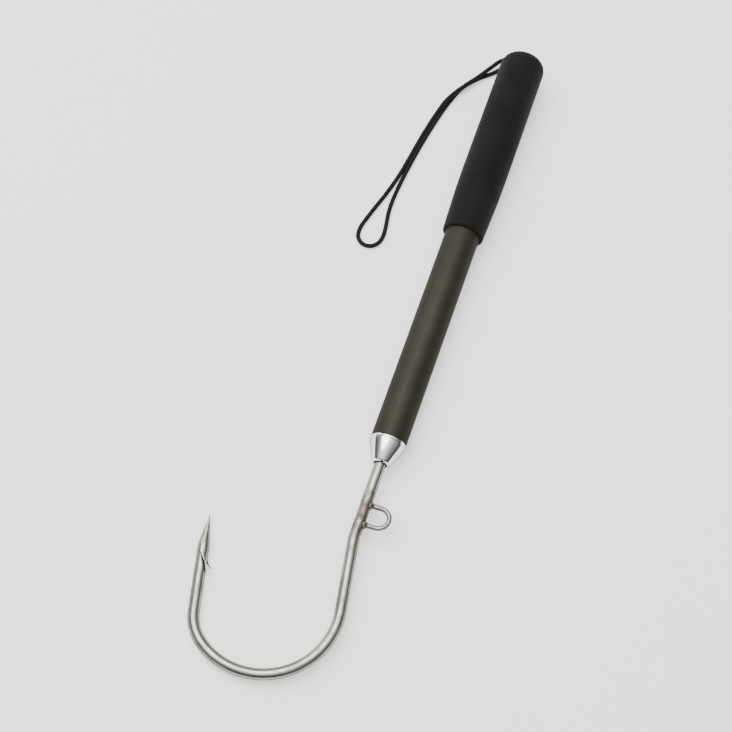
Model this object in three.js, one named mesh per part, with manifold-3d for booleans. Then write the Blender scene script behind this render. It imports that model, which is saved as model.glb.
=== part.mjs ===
// Telescopic fishing gaff, closed, lying on a flat surface.
// Millimetres, +Z up, +Y from the hook to the butt, hook gape towards -X.
import * as THREE from "three";
import { mergeVertices } from "three/addons/utils/BufferGeometryUtils.js";
import Module from "manifold-3d";

const wasm = await Module();
wasm.setup();

// Stations are distances along the shaft from the ferrule's shoulder, positive towards the butt.

// Running and seating clearances
const seatGap = 0.3;
const bondGap = 0.12;
const runningGap = 0.12;
const swivelGap = 0.3;
const pinGap = 0.15;
const cutOverrun = 2;

// Three drawn tubes
const outerTubeRadius = 11;
const outerTubeWall = 1;
const outerTubeLength = 280;
const middleTubeRadius = 8.5;
const middleTubeWall = 0.9;
const innerTubeRadius = 6.1;
const innerTubeWall = 0.9;

// Room behind each closed stage, between its rear end and the piece behind it
const middleStageRoom = 17.6;
const innerStageRoom = 5.1;

// Guide bushes in the two mouths
const outerBushLength = 14;
const middleBushLength = 12;
const bushSetback = 0.6;

// Rear plugs: a body in the tube, a flange on its end, then a neck and an end flange that trap a drag ring
const middlePlugBody = 14;
const middlePlugFlange = 1.5;
const middleNeckRadius = 5.6;
const middleNeckLength = 8.6;
const middleEndFlangeRadius = 7.9;
const middleEndFlange = 2;
const innerPlugBody = 12;
const innerPlugFlange = 1.2;
const innerNeckRadius = 3.9;
const innerNeckLength = 7.6;
const innerEndFlangeRadius = 5.6;
const innerEndFlange = 1.8;
const plugVentRadius = 1.6;
const ringSplit = 2;
const middlePinRadius = 1;
const innerPinRadius = 0.8;

// Foam grip with a closed, domed butt
const gripLength = 141.4;
const gripEndWall = 9;
const gripFrontRadius = 13.2;
const gripFrontEdge = 0.9;
const gripRestRadius = 14.38;
const gripRestDistance = 31;
const gripFullRadius = 14.6;
const gripFullDistance = 48;
const gripButtRadius = 14.5;
const gripDomeRadius = 8;

// Butt plug in the outer tube's rear end
const buttPlugBody = 18;
const buttPlugWall = 4;
const buttPlugCupWall = 2.4;
const buttPlugFlange = 1.5;

// Lanyard: a limp braided cord, both ends in one knot behind the butt plug's wall
const cordRadius = 1.4;
const cordHoleRadius = 3.3;
const knotRadius = 5.6;
const knotLength = 9;

// Turned ferrule
const ferruleLip = 1.3;
const ferruleLipChamfer = 0.3;
const ferruleCollar = 3.1;
const ferruleLength = 15.1;
const ferruleNoseRadius = 6.2;
const ferruleNoseBevel = 1.7;
const ferruleFaceRadius = 4.6;
const ferruleBoreGap = 0.4;
const ferruleBoreDepth = 10;
const ferruleSpigot = 20;
const ferruleSpigotChamfer = 0.6;
const ferrulePinStation = 5;
const ferrulePinRadius = 1;

// Hook bent from one round bar
const wireRadius = 3.4;
const hookTailRadius = 2.5;
const hookTailLength = 17.5;
const hookTailChamfer = 0.7;
const shankLength = 62;
const kinkRadius = 30;
const kinkTurn = 9.05;
const limbLength = 43.4;
const bendRadius = 43.5;
const bendTurn = 135.9;
const throatRadius = 28;
const throatTurn = 40.6;
const pointLimbLength = 39.9;
const pointLength = 19.2;
const pointTipRadius = 0.22;
const pointLean = 0.9;

// Barb: a sliver sawn from the inside of the point limb and curled outwards
const kerfDepth = 3.6;
const kerfLength = 10.6;
const kerfRoot = 5.6;
const barbRise = 6.4;
const barbReach = 13.9;
const barbTipThickness = 0.3;
const barbRootSink = 0.8;

// Nut and washer on the hook's threaded tail
const washerRadius = 4.6;
const washerThickness = 1;
const nutAcrossFlats = 8;
const nutThickness = 4;
const threadGap = 0.3;

// Line eye: a U of thin wire welded to the side of the shank
const eyeWireRadius = 1.5;
const eyeLoopRadius = 6.3;
const eyeStation = -48.3;
const eyeReach = 9.8;
const weldRadius = 2.9;
const weldHeight = 1.5;

// How finely round shapes are faceted
const tubeSides = 40;
const plugSides = 32;
const smallSides = 16;
const wireSides = 20;
const eyeSides = 10;
const cordSides = 8;
const cordSteps = 76;
const nutSides = 6;
const barbSides = 10;
const bendStepDegrees = 6;
const kinkStepDegrees = 3.1;
const eyeSteps = 22;
const domeSteps = 6;

const stainless = { color: 0xb9b8b2, roughness: 0.28, metalness: 1 };
const weldedSteel = { color: 0x9a8f7c, roughness: 0.45, metalness: 1 };
const polishedAluminium = { color: 0xe6e6e6, roughness: 0.12, metalness: 1 };
const oliveAnodised = { color: 0x55523f, roughness: 0.42, metalness: 0.8 };
const bareAluminium = { color: 0xbfc1c2, roughness: 0.35, metalness: 1 };
const blackFoam = { color: 0x262625, roughness: 0.9, metalness: 0 };
const blackNylon = { color: 0x1b1b1c, roughness: 0.5, metalness: 0 };
const whiteAcetal = { color: 0xe4e2dc, roughness: 0.4, metalness: 0 };
const blackCord = { color: 0x232222, roughness: 0.85, metalness: 0 };

// Sizes that follow from the ones above
const outerBore = outerTubeRadius - outerTubeWall;
const middleBore = middleTubeRadius - middleTubeWall;
const innerBore = innerTubeRadius - innerTubeWall;
const outerTubeEnd = seatGap + outerTubeLength;
const middlePlugTail = seatGap + middlePlugFlange + middleNeckLength + middleEndFlange;
const middleTubeEnd = outerTubeEnd - buttPlugBody - middleStageRoom - middlePlugTail;
const innerPlugTail = seatGap + innerPlugFlange + innerNeckLength + innerEndFlange;
const innerTubeEnd = middleTubeEnd - middlePlugBody - innerStageRoom - innerPlugTail;
const buttPlugEnd = outerTubeEnd + seatGap + buttPlugFlange;
const gripEnd = buttPlugEnd + seatGap + gripEndWall;
const gripStation = gripEnd - gripLength;
const spigotRadius = innerBore - bondGap;
const ferruleBore = wireRadius + ferruleBoreGap;
const tailBore = hookTailRadius + ferruleBoreGap;
const washerStation = ferruleSpigot + seatGap;
const nutStation = washerStation + washerThickness + seatGap;
const hookShoulder = ferruleBoreDepth - seatGap;

const radians = (degrees) => THREE.MathUtils.degToRad(degrees);

// A closed geometry as a solid, turned right side out.
function solidOf(geometry) {
  const bare = geometry.clone();
  bare.deleteAttribute("normal");
  bare.deleteAttribute("uv");
  const merged = mergeVertices(bare);
  const triVerts = new Uint32Array(merged.index.array);
  const make = () => new wasm.Manifold(
    new wasm.Mesh({ numProp: 3, vertProperties: merged.attributes.position.array, triVerts }),
  );
  const made = make();
  if (made.volume() > 0) return made;
  for (let i = 0; i < triVerts.length; i += 3) {
    [triVerts[i + 1], triVerts[i + 2]] = [triVerts[i + 2], triVerts[i + 1]];
  }
  return make();
}

// A solid's faces as a geometry with flat shading.
function geometryOf(solid) {
  const { vertProperties, triVerts } = solid.getMesh();
  const geometry = new THREE.BufferGeometry();
  geometry.setAttribute("position", new THREE.BufferAttribute(vertProperties, 3));
  geometry.setIndex(new THREE.BufferAttribute(triVerts, 1));
  const flat = geometry.toNonIndexed();
  flat.computeVertexNormals();
  return flat;
}

// A profile of [radius, station] corners turned about the shaft's axis.
function turned(corners, sides = tubeSides) {
  const closed = corners.every(([radius]) => radius > 0) ? [...corners, corners[0]] : corners;
  const profile = closed.map(([radius, station]) => new THREE.Vector2(radius, station));
  return solidOf(new THREE.LatheGeometry(profile, sides));
}

// A plain ring or tube between two stations.
function sleeve(innerRadius, outerRadius, from, to, sides = tubeSides) {
  return turned([[outerRadius, from], [outerRadius, to], [innerRadius, to], [innerRadius, from]], sides);
}

// A round bar across the shaft, along X, at one station.
function crossBar(radius, halfLength, station) {
  const bar = new THREE.CylinderGeometry(radius, radius, 2 * halfLength, smallSides);
  return solidOf(bar.rotateZ(Math.PI / 2).translate(0, station, 0));
}

// Skins equal rings of points, first to last, and closes both ends.
function loft(rings) {
  const sides = rings[0].length;
  const points = rings.flat();
  const index = [];
  for (let r = 0; r + 1 < rings.length; r += 1) {
    for (let k = 0; k < sides; k += 1) {
      const a = r * sides + k;
      const b = r * sides + ((k + 1) % sides);
      index.push(a, b, b + sides, a, b + sides, a + sides);
    }
  }
  const last = points.length - sides;
  for (let k = 1; k + 1 < sides; k += 1) {
    index.push(0, k + 1, k, last, last + k, last + k + 1);
  }
  const geometry = new THREE.BufferGeometry().setFromPoints(points);
  geometry.setIndex(index);
  return solidOf(geometry);
}

function mesh(name, solid, finish) {
  const made = new THREE.Mesh(geometryOf(solid), new THREE.MeshStandardMaterial(finish));
  made.name = name;
  return made;
}

// Walks a bent bar in the hook's plane. A straight run has a length, an arc a radius and a turn in
// degrees, positive to the left. Each stop has its place, its heading and the distance walked.
function walk(start, heading, runs) {
  const stops = [{ at: start.clone(), heading, walked: 0 }];
  for (const { length, radius, turn, step } of runs) {
    const from = stops[stops.length - 1];
    if (length !== undefined) {
      const ahead = new THREE.Vector2(Math.cos(from.heading), Math.sin(from.heading));
      const at = from.at.clone().addScaledVector(ahead, length);
      stops.push({ at, heading: from.heading, walked: from.walked + length });
      continue;
    }
    const side = Math.sign(turn);
    const normal = from.heading + side * Math.PI / 2;
    const centre = new THREE.Vector2(Math.cos(normal), Math.sin(normal)).multiplyScalar(radius);
    centre.add(from.at);
    const steps = Math.ceil(Math.abs(turn) / step);
    for (let i = 1; i <= steps; i += 1) {
      const turnedBy = radians(turn) * i / steps;
      const out = normal + Math.PI + turnedBy;
      const at = new THREE.Vector2(Math.cos(out), Math.sin(out)).multiplyScalar(radius).add(centre);
      const walked = from.walked + radius * Math.abs(turnedBy);
      stops.push({ at, heading: from.heading + turnedBy, walked });
    }
  }
  return stops;
}

// A round section square to the heading, moved sideways in the hook's plane by lean.
function wireRing({ at, heading }, radius, lean = 0) {
  const left = new THREE.Vector3(-Math.sin(heading), Math.cos(heading), 0);
  const up = new THREE.Vector3(0, 0, 1);
  const centre = new THREE.Vector3(at.x, at.y, 0).addScaledVector(left, lean);
  return Array.from({ length: wireSides }, (_, k) => {
    const angle = 2 * Math.PI * k / wireSides;
    return centre.clone()
      .addScaledVector(up, radius * Math.cos(angle))
      .addScaledVector(left, -radius * Math.sin(angle));
  });
}

// The hook's centreline, from the shoulder in the ferrule to where the point begins.
const hookRuns = [
  { length: hookShoulder + shankLength },
  { radius: kinkRadius, turn: kinkTurn, step: kinkStepDegrees },
  { length: limbLength },
  { radius: bendRadius, turn: -bendTurn, step: bendStepDegrees },
  { radius: throatRadius, turn: -throatTurn, step: bendStepDegrees },
  { length: pointLimbLength },
];
const hookStops = walk(new THREE.Vector2(0, hookShoulder), -Math.PI / 2, hookRuns);
const pointStart = hookStops[hookStops.length - 1];

// The point limb's own frame: along it to the tip, and inwards, towards the gape.
const pointAlong = new THREE.Vector2(Math.cos(pointStart.heading), Math.sin(pointStart.heading));
const pointInward = new THREE.Vector2(pointAlong.y, -pointAlong.x);
function onPoint(along, inward, height = 0) {
  const at = pointStart.at.clone().addScaledVector(pointAlong, along).addScaledVector(pointInward, inward);
  return new THREE.Vector3(at.x, at.y, height);
}

// A wedge across the bar: its apex is the root of the kerf and its lower face the sawn face.
function kerfCut() {
  const edge = wireRadius + cutOverrun;
  const fallPerRise = kerfLength / kerfDepth;
  const floor = kerfRoot + fallPerRise * (kerfDepth + cutOverrun);
  const apex = wireRadius - kerfDepth;
  const outline = [[-kerfRoot, apex], [-floor, edge], [-kerfRoot, edge]];
  const ring = (height) => outline.map(([along, inward]) => onPoint(along, inward, height));
  return loft([ring(-edge), ring(edge)]);
}

// The sliver: at each share of its length, how far back its outer face has got, how far that face has
// risen from the bar towards the barb's tip, and how much of the kerf's depth its thickness keeps.
const barbTableShares = [
  { back: 0, rise: 0, thickness: 1 },
  { back: 0.18, rise: 0.01, thickness: 0.82 },
  { back: 0.38, rise: 0.08, thickness: 0.6 },
  { back: 0.56, rise: 0.23, thickness: 0.42 },
  { back: 0.72, rise: 0.44, thickness: 0.27 },
  { back: 0.87, rise: 0.72, thickness: 0.15 },
  { back: 1, rise: 1, thickness: 0 },
];

// A cap of the bar's own round section, of the thickness left, with its round side outwards.
function barbSection(along, inward, tilt, thickness) {
  const halfAngle = Math.acos(Math.max(-1, 1 - thickness / wireRadius));
  const ahead = new THREE.Vector2(Math.sin(tilt), Math.cos(tilt));
  return Array.from({ length: barbSides }, (_, k) => {
    const angle = halfAngle * (2 * k / (barbSides - 1) - 1);
    const drop = wireRadius * (1 - Math.cos(angle));
    const point = onPoint(along - drop * ahead.x, inward - drop * ahead.y);
    point.z = wireRadius * Math.sin(angle);
    return point;
  });
}

function barb() {
  const run = barbReach - kerfRoot;
  const climb = barbRise - wireRadius;
  const places = barbTableShares.map(({ back, rise, thickness }) => ({
    along: -kerfRoot - run * back,
    inward: wireRadius + climb * rise,
    thickness: Math.max(kerfDepth * thickness, barbTipThickness),
  }));
  const sections = places.map(({ along, inward, thickness }, i) => {
    const before = places[Math.max(i - 1, 0)];
    const after = places[Math.min(i + 1, places.length - 1)];
    const tilt = Math.atan2(after.inward - before.inward, before.along - after.along);
    return barbSection(along, inward, tilt, thickness);
  });
  const root = barbSection(-kerfRoot + barbRootSink, wireRadius, 0, kerfDepth);
  return loft([root, ...sections]);
}

function hook() {
  const tail = hookShoulder + hookTailLength;
  const tailStop = (station) => ({ at: new THREE.Vector2(0, station), heading: -Math.PI / 2 });
  const tipPlace = pointStart.at.clone().addScaledVector(pointAlong, pointLength);
  const tip = { at: tipPlace, heading: pointStart.heading };
  const bar = loft([
    wireRing(tailStop(tail), hookTailRadius - hookTailChamfer),
    wireRing(tailStop(tail - hookTailChamfer), hookTailRadius),
    wireRing(tailStop(hookShoulder), hookTailRadius),
    ...hookStops.map((stop) => wireRing(stop, wireRadius)),
    wireRing(tip, pointTipRadius, -pointLean),
  ]);
  const pinHole = crossBar(ferrulePinRadius + pinGap, wireRadius + cutOverrun, ferrulePinStation);
  return bar.subtract(pinHole).subtract(kerfCut()).add(barb());
}

// The eye's wire: out from the shank, round the loop and back, its feet coped to the shank.
class EyePath extends THREE.Curve {
  getPoint(share) {
    const leg = eyeReach;
    const bow = Math.PI * eyeLoopRadius;
    const walked = share * (2 * leg + bow);
    if (walked <= leg) return new THREE.Vector3(walked, eyeStation + eyeLoopRadius, 0);
    if (walked >= leg + bow) {
      return new THREE.Vector3(2 * leg + bow - walked, eyeStation - eyeLoopRadius, 0);
    }
    const angle = (walked - leg) / eyeLoopRadius;
    const x = eyeReach + eyeLoopRadius * Math.sin(angle);
    return new THREE.Vector3(x, eyeStation + eyeLoopRadius * Math.cos(angle), 0);
  }
}

// A round section for a wire or cord that follows a path.
function roundSection(radius, sides) {
  const shape = new THREE.Shape();
  for (let k = 0; k < sides; k += 1) {
    const angle = 2 * Math.PI * (k + 0.5) / sides;
    const x = radius * Math.cos(angle);
    const y = radius * Math.sin(angle);
    if (k === 0) shape.moveTo(x, y);
    else shape.lineTo(x, y);
  }
  shape.closePath();
  return shape;
}

function alongPath(path, radius, sides, steps) {
  const settings = { extrudePath: path, steps, bevelEnabled: false };
  return solidOf(new THREE.ExtrudeGeometry(roundSection(radius, sides), settings));
}

function shankCope(gap) {
  const reach = eyeLoopRadius + weldRadius + cutOverrun;
  const bar = new THREE.CylinderGeometry(wireRadius + gap, wireRadius + gap, 2 * reach, smallSides);
  return solidOf(bar.translate(0, eyeStation, 0));
}

function lineEye() {
  return alongPath(new EyePath(), eyeWireRadius, eyeSides, eyeSteps).subtract(shankCope(seatGap));
}

// A domed bead round one foot of the eye, lying on the shank.
function weld(station) {
  const bore = eyeWireRadius + pinGap;
  const domeShares = [[1, -1], [1, 0.15], [0.88, 0.52], [0.6, 0.84], [0.25, 1], [0, 1], [0, -1]];
  const points = domeShares.map(([out, up]) => new THREE.Vector2(
    THREE.MathUtils.lerp(bore, weldRadius, out),
    wireRadius + weldHeight * up,
  ));
  points.push(points[0]);
  const bead = new THREE.LatheGeometry(points, smallSides).rotateZ(-Math.PI / 2).translate(0, station, 0);
  return solidOf(bead).subtract(shankCope(pinGap));
}

// Turned ferrule: lip, collar and cone outside, a spigot for the inner tube, a stepped bore.
function ferrule() {
  const noseMidShare = 0.35;
  const noseMidRadius = THREE.MathUtils.lerp(ferruleNoseRadius, ferruleFaceRadius, noseMidShare);
  const pinHole = crossBar(ferrulePinRadius + pinGap, innerTubeRadius + cutOverrun, ferrulePinStation);
  const body = turned([
    [spigotRadius, 0],
    [spigotRadius, ferruleSpigot - ferruleSpigotChamfer],
    [spigotRadius - ferruleSpigotChamfer, ferruleSpigot],
    [tailBore, ferruleSpigot],
    [tailBore, ferruleBoreDepth],
    [ferruleBore, ferruleBoreDepth],
    [ferruleBore, -ferruleLength],
    [ferruleFaceRadius, -ferruleLength],
    [noseMidRadius, ferruleNoseBevel * noseMidShare - ferruleLength],
    [ferruleNoseRadius, ferruleNoseBevel - ferruleLength],
    [outerTubeRadius - ferruleLipChamfer, -ferruleCollar],
    [outerTubeRadius - ferruleLipChamfer, -ferruleLip - ferruleLipChamfer],
    [outerTubeRadius, -ferruleLip],
    [outerTubeRadius, 0],
  ]);
  return body.subtract(pinHole);
}

// The grip's outer profile: a rounded front edge, a swell to the full radius, then slightly in to the
// domed butt. It lies on the corner at the rest distance.
function gripProfile() {
  const easeShare = 0.5;
  const easeRiseShare = 0.62;
  const ease = [
    THREE.MathUtils.lerp(gripRestRadius, gripFullRadius, easeRiseShare),
    gripStation + THREE.MathUtils.lerp(gripRestDistance, gripFullDistance, easeShare),
  ];
  const domeStart = gripEnd - gripDomeRadius;
  const flat = gripButtRadius - gripDomeRadius;
  const dome = Array.from({ length: domeSteps }, (_, i) => {
    const angle = Math.PI / 2 * (i + 1) / domeSteps;
    return [flat + gripDomeRadius * Math.cos(angle), domeStart + gripDomeRadius * Math.sin(angle)];
  });
  return [
    [gripFrontRadius - gripFrontEdge, gripStation],
    [gripFrontRadius - gripFrontEdge / 3, gripStation + gripFrontEdge / 3],
    [gripFrontRadius, gripStation + gripFrontEdge],
    [gripRestRadius, gripStation + gripRestDistance],
    ease,
    [gripFullRadius, gripStation + gripFullDistance],
    [gripButtRadius, domeStart],
    ...dome,
  ];
}

function gripSleeve() {
  const bore = outerTubeRadius + bondGap;
  return turned([
    ...gripProfile(),
    [cordHoleRadius, gripEnd],
    [cordHoleRadius, buttPlugEnd + seatGap],
    [bore, buttPlugEnd + seatGap],
    [bore, gripStation],
  ]);
}

function buttPlug() {
  const body = outerBore - bondGap;
  const front = outerTubeEnd - buttPlugBody;
  const wallFront = outerTubeEnd - buttPlugWall;
  return turned([
    [body - buttPlugCupWall, front],
    [body, front],
    [body, outerTubeEnd + seatGap],
    [outerTubeRadius, outerTubeEnd + seatGap],
    [outerTubeRadius, buttPlugEnd],
    [cordHoleRadius, buttPlugEnd],
    [cordHoleRadius, wallFront],
    [body - buttPlugCupWall, wallFront],
  ]);
}

// A plug for the rear end of a sliding tube.
function rearPlug({ bore, radius, tubeEnd, body, flange, neck, neckLength, endRadius, endFlange, pin }) {
  const flangeStart = tubeEnd + seatGap;
  const flangeEnd = flangeStart + flange;
  const neckEnd = flangeEnd + neckLength;
  const turnedPlug = turned([
    [plugVentRadius, tubeEnd - body],
    [bore - bondGap, tubeEnd - body],
    [bore - bondGap, flangeStart],
    [radius, flangeStart],
    [radius, flangeEnd],
    [neck, flangeEnd],
    [neck, neckEnd],
    [endRadius, neckEnd],
    [endRadius, neckEnd + endFlange],
    [plugVentRadius, neckEnd + endFlange],
  ], plugSides);
  return turnedPlug.subtract(crossBar(pin + pinGap, radius + cutOverrun, tubeEnd - body / 2));
}

// A split ring on a plug's neck that drags on the bore outside it.
function dragRing({ tubeEnd, flange, neck, neckLength }, boreOutside) {
  const from = tubeEnd + seatGap + flange + seatGap;
  const to = tubeEnd + seatGap + flange + neckLength - seatGap;
  const ring = sleeve(neck + swivelGap, boreOutside - runningGap, from, to);
  const slot = new THREE.BoxGeometry(boreOutside + cutOverrun, to - from + cutOverrun, ringSplit);
  return ring.subtract(solidOf(slot.translate((boreOutside + cutOverrun) / 2, (from + to) / 2, 0)));
}

// A drawn tube with a hole across it for its plug's pin.
function drawnTube(bore, radius, end, holes) {
  let tube = sleeve(bore, radius, seatGap, end);
  for (const { at, pin } of holes) tube = tube.subtract(crossBar(pin + pinGap, radius + cutOverrun, at));
  return tube;
}

function guideBush(bore, slidingRadius, length) {
  const front = seatGap + bushSetback;
  return sleeve(slidingRadius + runningGap, bore - bondGap, front, front + length);
}

function washer() {
  return sleeve(tailBore, washerRadius, washerStation, washerStation + washerThickness, smallSides);
}

// A hexagonal nut with its corners chamfered.
function nut() {
  const corner = nutAcrossFlats / 2 / Math.cos(Math.PI / nutSides);
  const hexagon = new THREE.CylinderGeometry(corner, corner, nutThickness, nutSides);
  const body = solidOf(hexagon.translate(0, nutStation + nutThickness / 2, 0));
  const bevel = corner - nutAcrossFlats / 2;
  const rounding = turned([
    [0, nutStation - seatGap],
    [nutAcrossFlats / 2, nutStation],
    [corner + bevel, nutStation + bevel],
    [corner + bevel, nutStation + nutThickness - bevel],
    [nutAcrossFlats / 2, nutStation + nutThickness],
    [0, nutStation + nutThickness + seatGap],
  ], smallSides);
  const hole = sleeveHole(hookTailRadius + threadGap, nutStation, nutStation + nutThickness);
  return body.intersect(rounding).subtract(hole);
}

function sleeveHole(radius, from, to) {
  const length = to - from + 2 * cutOverrun;
  const bar = new THREE.CylinderGeometry(radius, radius, length, smallSides);
  return solidOf(bar.translate(0, (from + to) / 2, 0));
}

// The stopper knot: two strands drawn into a short, waisted ball, flat where it meets the plug's wall.
function knot() {
  const rear = outerTubeEnd - buttPlugWall - seatGap;
  const profileShares = [[0, 0], [0.5, 0.03], [0.82, 0.16], [0.97, 0.34], [0.9, 0.5], [1, 0.68], [0.88, 0.88],
    [0.66, 1], [0, 1]];
  const front = rear - knotLength;
  return turned(
    profileShares.map(([out, along]) => [knotRadius * out, THREE.MathUtils.lerp(front, rear, along)]),
    smallSides,
  );
}

// The lanyard's route on the surface that the gaff lies on: out of the hole, down, over the other strand,
// round the loop and back into the hole beside the start.
const cordRoute = [
  [34.9, 212.1, 16.2], [34.9, 222.1, 16.5], [34.9, 226.7, 16.6], [34.8, 230.1, 15.8], [34.3, 232.9, 13.4],
  [33.3, 234.4, 10.2], [30.9, 235.4, 7.1], [24.4, 235, 4.6], [17.2, 229.4, 4.2], [12.8, 222.2, 4.1],
  [7.8, 212.8, 4.7], [-3, 195.3, 4.7], [-7.6, 185.6, 4], [-11, 174.5, 2], [-14.3, 158.5, 1.5],
  [-19.4, 122.1, 1.5], [-22.5, 106.3, 1.5], [-28.1, 85.1, 1.5], [-30.2, 74.7, 1.5], [-29.2, 68.5, 1.5],
  [-25.3, 64.9, 1.5], [-20.2, 64.9, 1.5], [-16.2, 68.4, 1.5], [-14.6, 74.4, 1.5], [-16.4, 98.3, 1.5],
  [-12.7, 139.3, 1.5], [-6.8, 176.5, 1.5], [-4.2, 190, 1.5], [-0.2, 201.8, 1.5], [7, 212, 1.5],
  [13.6, 218.5, 1.6], [17.7, 222.6, 2.2], [21.5, 226.9, 3.8], [24.9, 230.7, 6.6], [27.6, 232.9, 10.2],
  [29.5, 232.4, 13.3], [30.9, 230.2, 15.6], [31.7, 226.7, 16.5], [31.7, 222.1, 16.3], [31.7, 212.1, 16],
];

function lanyardCord() {
  const route = new THREE.CatmullRomCurve3(cordRoute.map((point) => new THREE.Vector3(...point)));
  return alongPath(route, cordRadius, cordSides, cordSteps);
}

const middlePlugSizes = {
  bore: middleBore,
  radius: middleTubeRadius,
  tubeEnd: middleTubeEnd,
  body: middlePlugBody,
  flange: middlePlugFlange,
  neck: middleNeckRadius,
  neckLength: middleNeckLength,
  endRadius: middleEndFlangeRadius,
  endFlange: middleEndFlange,
  pin: middlePinRadius,
};
const innerPlugSizes = {
  bore: innerBore,
  radius: innerTubeRadius,
  tubeEnd: innerTubeEnd,
  body: innerPlugBody,
  flange: innerPlugFlange,
  neck: innerNeckRadius,
  neckLength: innerNeckLength,
  endRadius: innerEndFlangeRadius,
  endFlange: innerEndFlange,
  pin: innerPinRadius,
};
const middlePinStation = middleTubeEnd - middlePlugBody / 2;
const innerPinStation = innerTubeEnd - innerPlugBody / 2;
const middleTubeHoles = [{ at: middlePinStation, pin: middlePinRadius }];
const innerTubeHoles = [
  { at: innerPinStation, pin: innerPinRadius },
  { at: ferrulePinStation, pin: ferrulePinRadius },
];

// Everything on the shaft, in the shaft's own frame.
const shaft = new THREE.Group();
shaft.add(
  mesh("grip_sleeve", gripSleeve(), blackFoam),
  mesh("outer_tube", drawnTube(outerBore, outerTubeRadius, outerTubeEnd, []), oliveAnodised),
  mesh("butt_plug", buttPlug(), blackNylon),
  mesh("outer_guide_bush", guideBush(outerBore, middleTubeRadius, outerBushLength), blackNylon),
  mesh("lanyard_knot", knot(), blackCord),
  mesh("middle_drag_ring", dragRing(middlePlugSizes, outerBore), whiteAcetal),
  mesh("middle_tube", drawnTube(middleBore, middleTubeRadius, middleTubeEnd, middleTubeHoles), bareAluminium),
  mesh("middle_rear_plug", rearPlug(middlePlugSizes), blackNylon),
  mesh("middle_plug_pin", crossBar(middlePinRadius, middleTubeRadius - pinGap, middlePinStation), stainless),
  mesh("middle_guide_bush", guideBush(middleBore, innerTubeRadius, middleBushLength), blackNylon),
  mesh("inner_drag_ring", dragRing(innerPlugSizes, middleBore), whiteAcetal),
  mesh("inner_tube", drawnTube(innerBore, innerTubeRadius, innerTubeEnd, innerTubeHoles), bareAluminium),
  mesh("inner_rear_plug", rearPlug(innerPlugSizes), blackNylon),
  mesh("inner_plug_pin", crossBar(innerPinRadius, innerTubeRadius - pinGap, innerPinStation), stainless),
  mesh("ferrule", ferrule(), polishedAluminium),
  mesh("ferrule_pin", crossBar(ferrulePinRadius, innerTubeRadius - pinGap, ferrulePinStation), stainless),
  mesh("hook", hook(), stainless),
  mesh("hook_washer", washer(), stainless),
  mesh("hook_nut", nut(), stainless),
  mesh("line_eye", lineEye(), stainless),
  mesh("eye_weld_upper", weld(eyeStation + eyeLoopRadius), weldedSteel),
  mesh("eye_weld_lower", weld(eyeStation - eyeLoopRadius), weldedSteel),
);

// The gaff lies on the grip and the ferrule's lip, so the shaft leans down towards the hook. It has rolled
// about its axis until the far side of the hook touches the surface too.
const restSpan = gripStation + gripRestDistance + ferruleLip;
const lean = Math.atan2(gripRestRadius - outerTubeRadius, restSpan);
const axisHeight = outerTubeRadius * Math.cos(lean) + ferruleLip * Math.sin(lean);
const farStops = hookStops.filter(({ at }) => at.x < -wireRadius);
const rollSlopes = farStops.map(({ at }) => {
  const clearHeight = axisHeight + at.y * Math.sin(lean) - wireRadius;
  return -clearHeight / (at.x * Math.cos(lean));
});
shaft.rotation.set(lean, -Math.asin(Math.min(...rollSlopes)), 0);

// The origin is under the middle of the gaff, without its lanyard, on the surface that it lies on.
const box = new THREE.Box3().setFromObject(shaft, true);
const middle = box.getCenter(new THREE.Vector3());
shaft.position.set(-middle.x, -middle.y, -box.min.z);

const gaff = new THREE.Group();
gaff.add(shaft, mesh("lanyard_cord", lanyardCord(), blackCord));

export default gaff;
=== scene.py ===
"""Looks of a telescopic fishing gaff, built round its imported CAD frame."""

import math

import bpy
import numpy as np
from bpy.props import FloatProperty, FloatVectorProperty, IntProperty, PointerProperty
from mathutils import Matrix, Vector


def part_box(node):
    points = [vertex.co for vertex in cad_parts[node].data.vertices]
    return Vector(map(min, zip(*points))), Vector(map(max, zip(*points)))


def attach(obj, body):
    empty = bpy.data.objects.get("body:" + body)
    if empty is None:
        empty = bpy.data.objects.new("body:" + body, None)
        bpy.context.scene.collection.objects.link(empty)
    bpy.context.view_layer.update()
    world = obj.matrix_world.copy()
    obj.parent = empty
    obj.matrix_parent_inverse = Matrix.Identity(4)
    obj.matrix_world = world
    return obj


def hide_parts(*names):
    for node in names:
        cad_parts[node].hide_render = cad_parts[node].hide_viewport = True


bl_info = {
    "name": "Telescopic Fishing Gaff",
    "version": (1, 0, 0),
    "blender": (4, 5, 0),
    "location": "3D View > Sidebar > Gaff",
    "description": "Models the grip, tubes, ferrule, barbed hook and lanyard of a telescopic hand gaff",
    "category": "Add Mesh",
}

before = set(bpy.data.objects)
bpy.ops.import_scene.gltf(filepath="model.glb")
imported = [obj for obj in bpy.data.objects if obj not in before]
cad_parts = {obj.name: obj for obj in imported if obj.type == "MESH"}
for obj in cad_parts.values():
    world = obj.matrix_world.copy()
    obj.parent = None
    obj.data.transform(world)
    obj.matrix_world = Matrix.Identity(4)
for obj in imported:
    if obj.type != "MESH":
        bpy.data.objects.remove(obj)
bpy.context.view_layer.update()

# A millimetre in the scene's metres
MM = 0.001

# The shaft's own frame: Y along it from the ferrule's shoulder to the butt, X towards the line eye.
SHAFT_LEAN = 0.0185387
SHAFT_ROLL = -0.0708224
SHAFT_PLACE = (0.0333977, -0.0641198, 0.0110131)
SHAFT = (
    Matrix.Translation(SHAFT_PLACE)
    @ Matrix.Rotation(SHAFT_LEAN, 4, "X")
    @ Matrix.Rotation(SHAFT_ROLL, 4, "Y")
)

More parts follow.
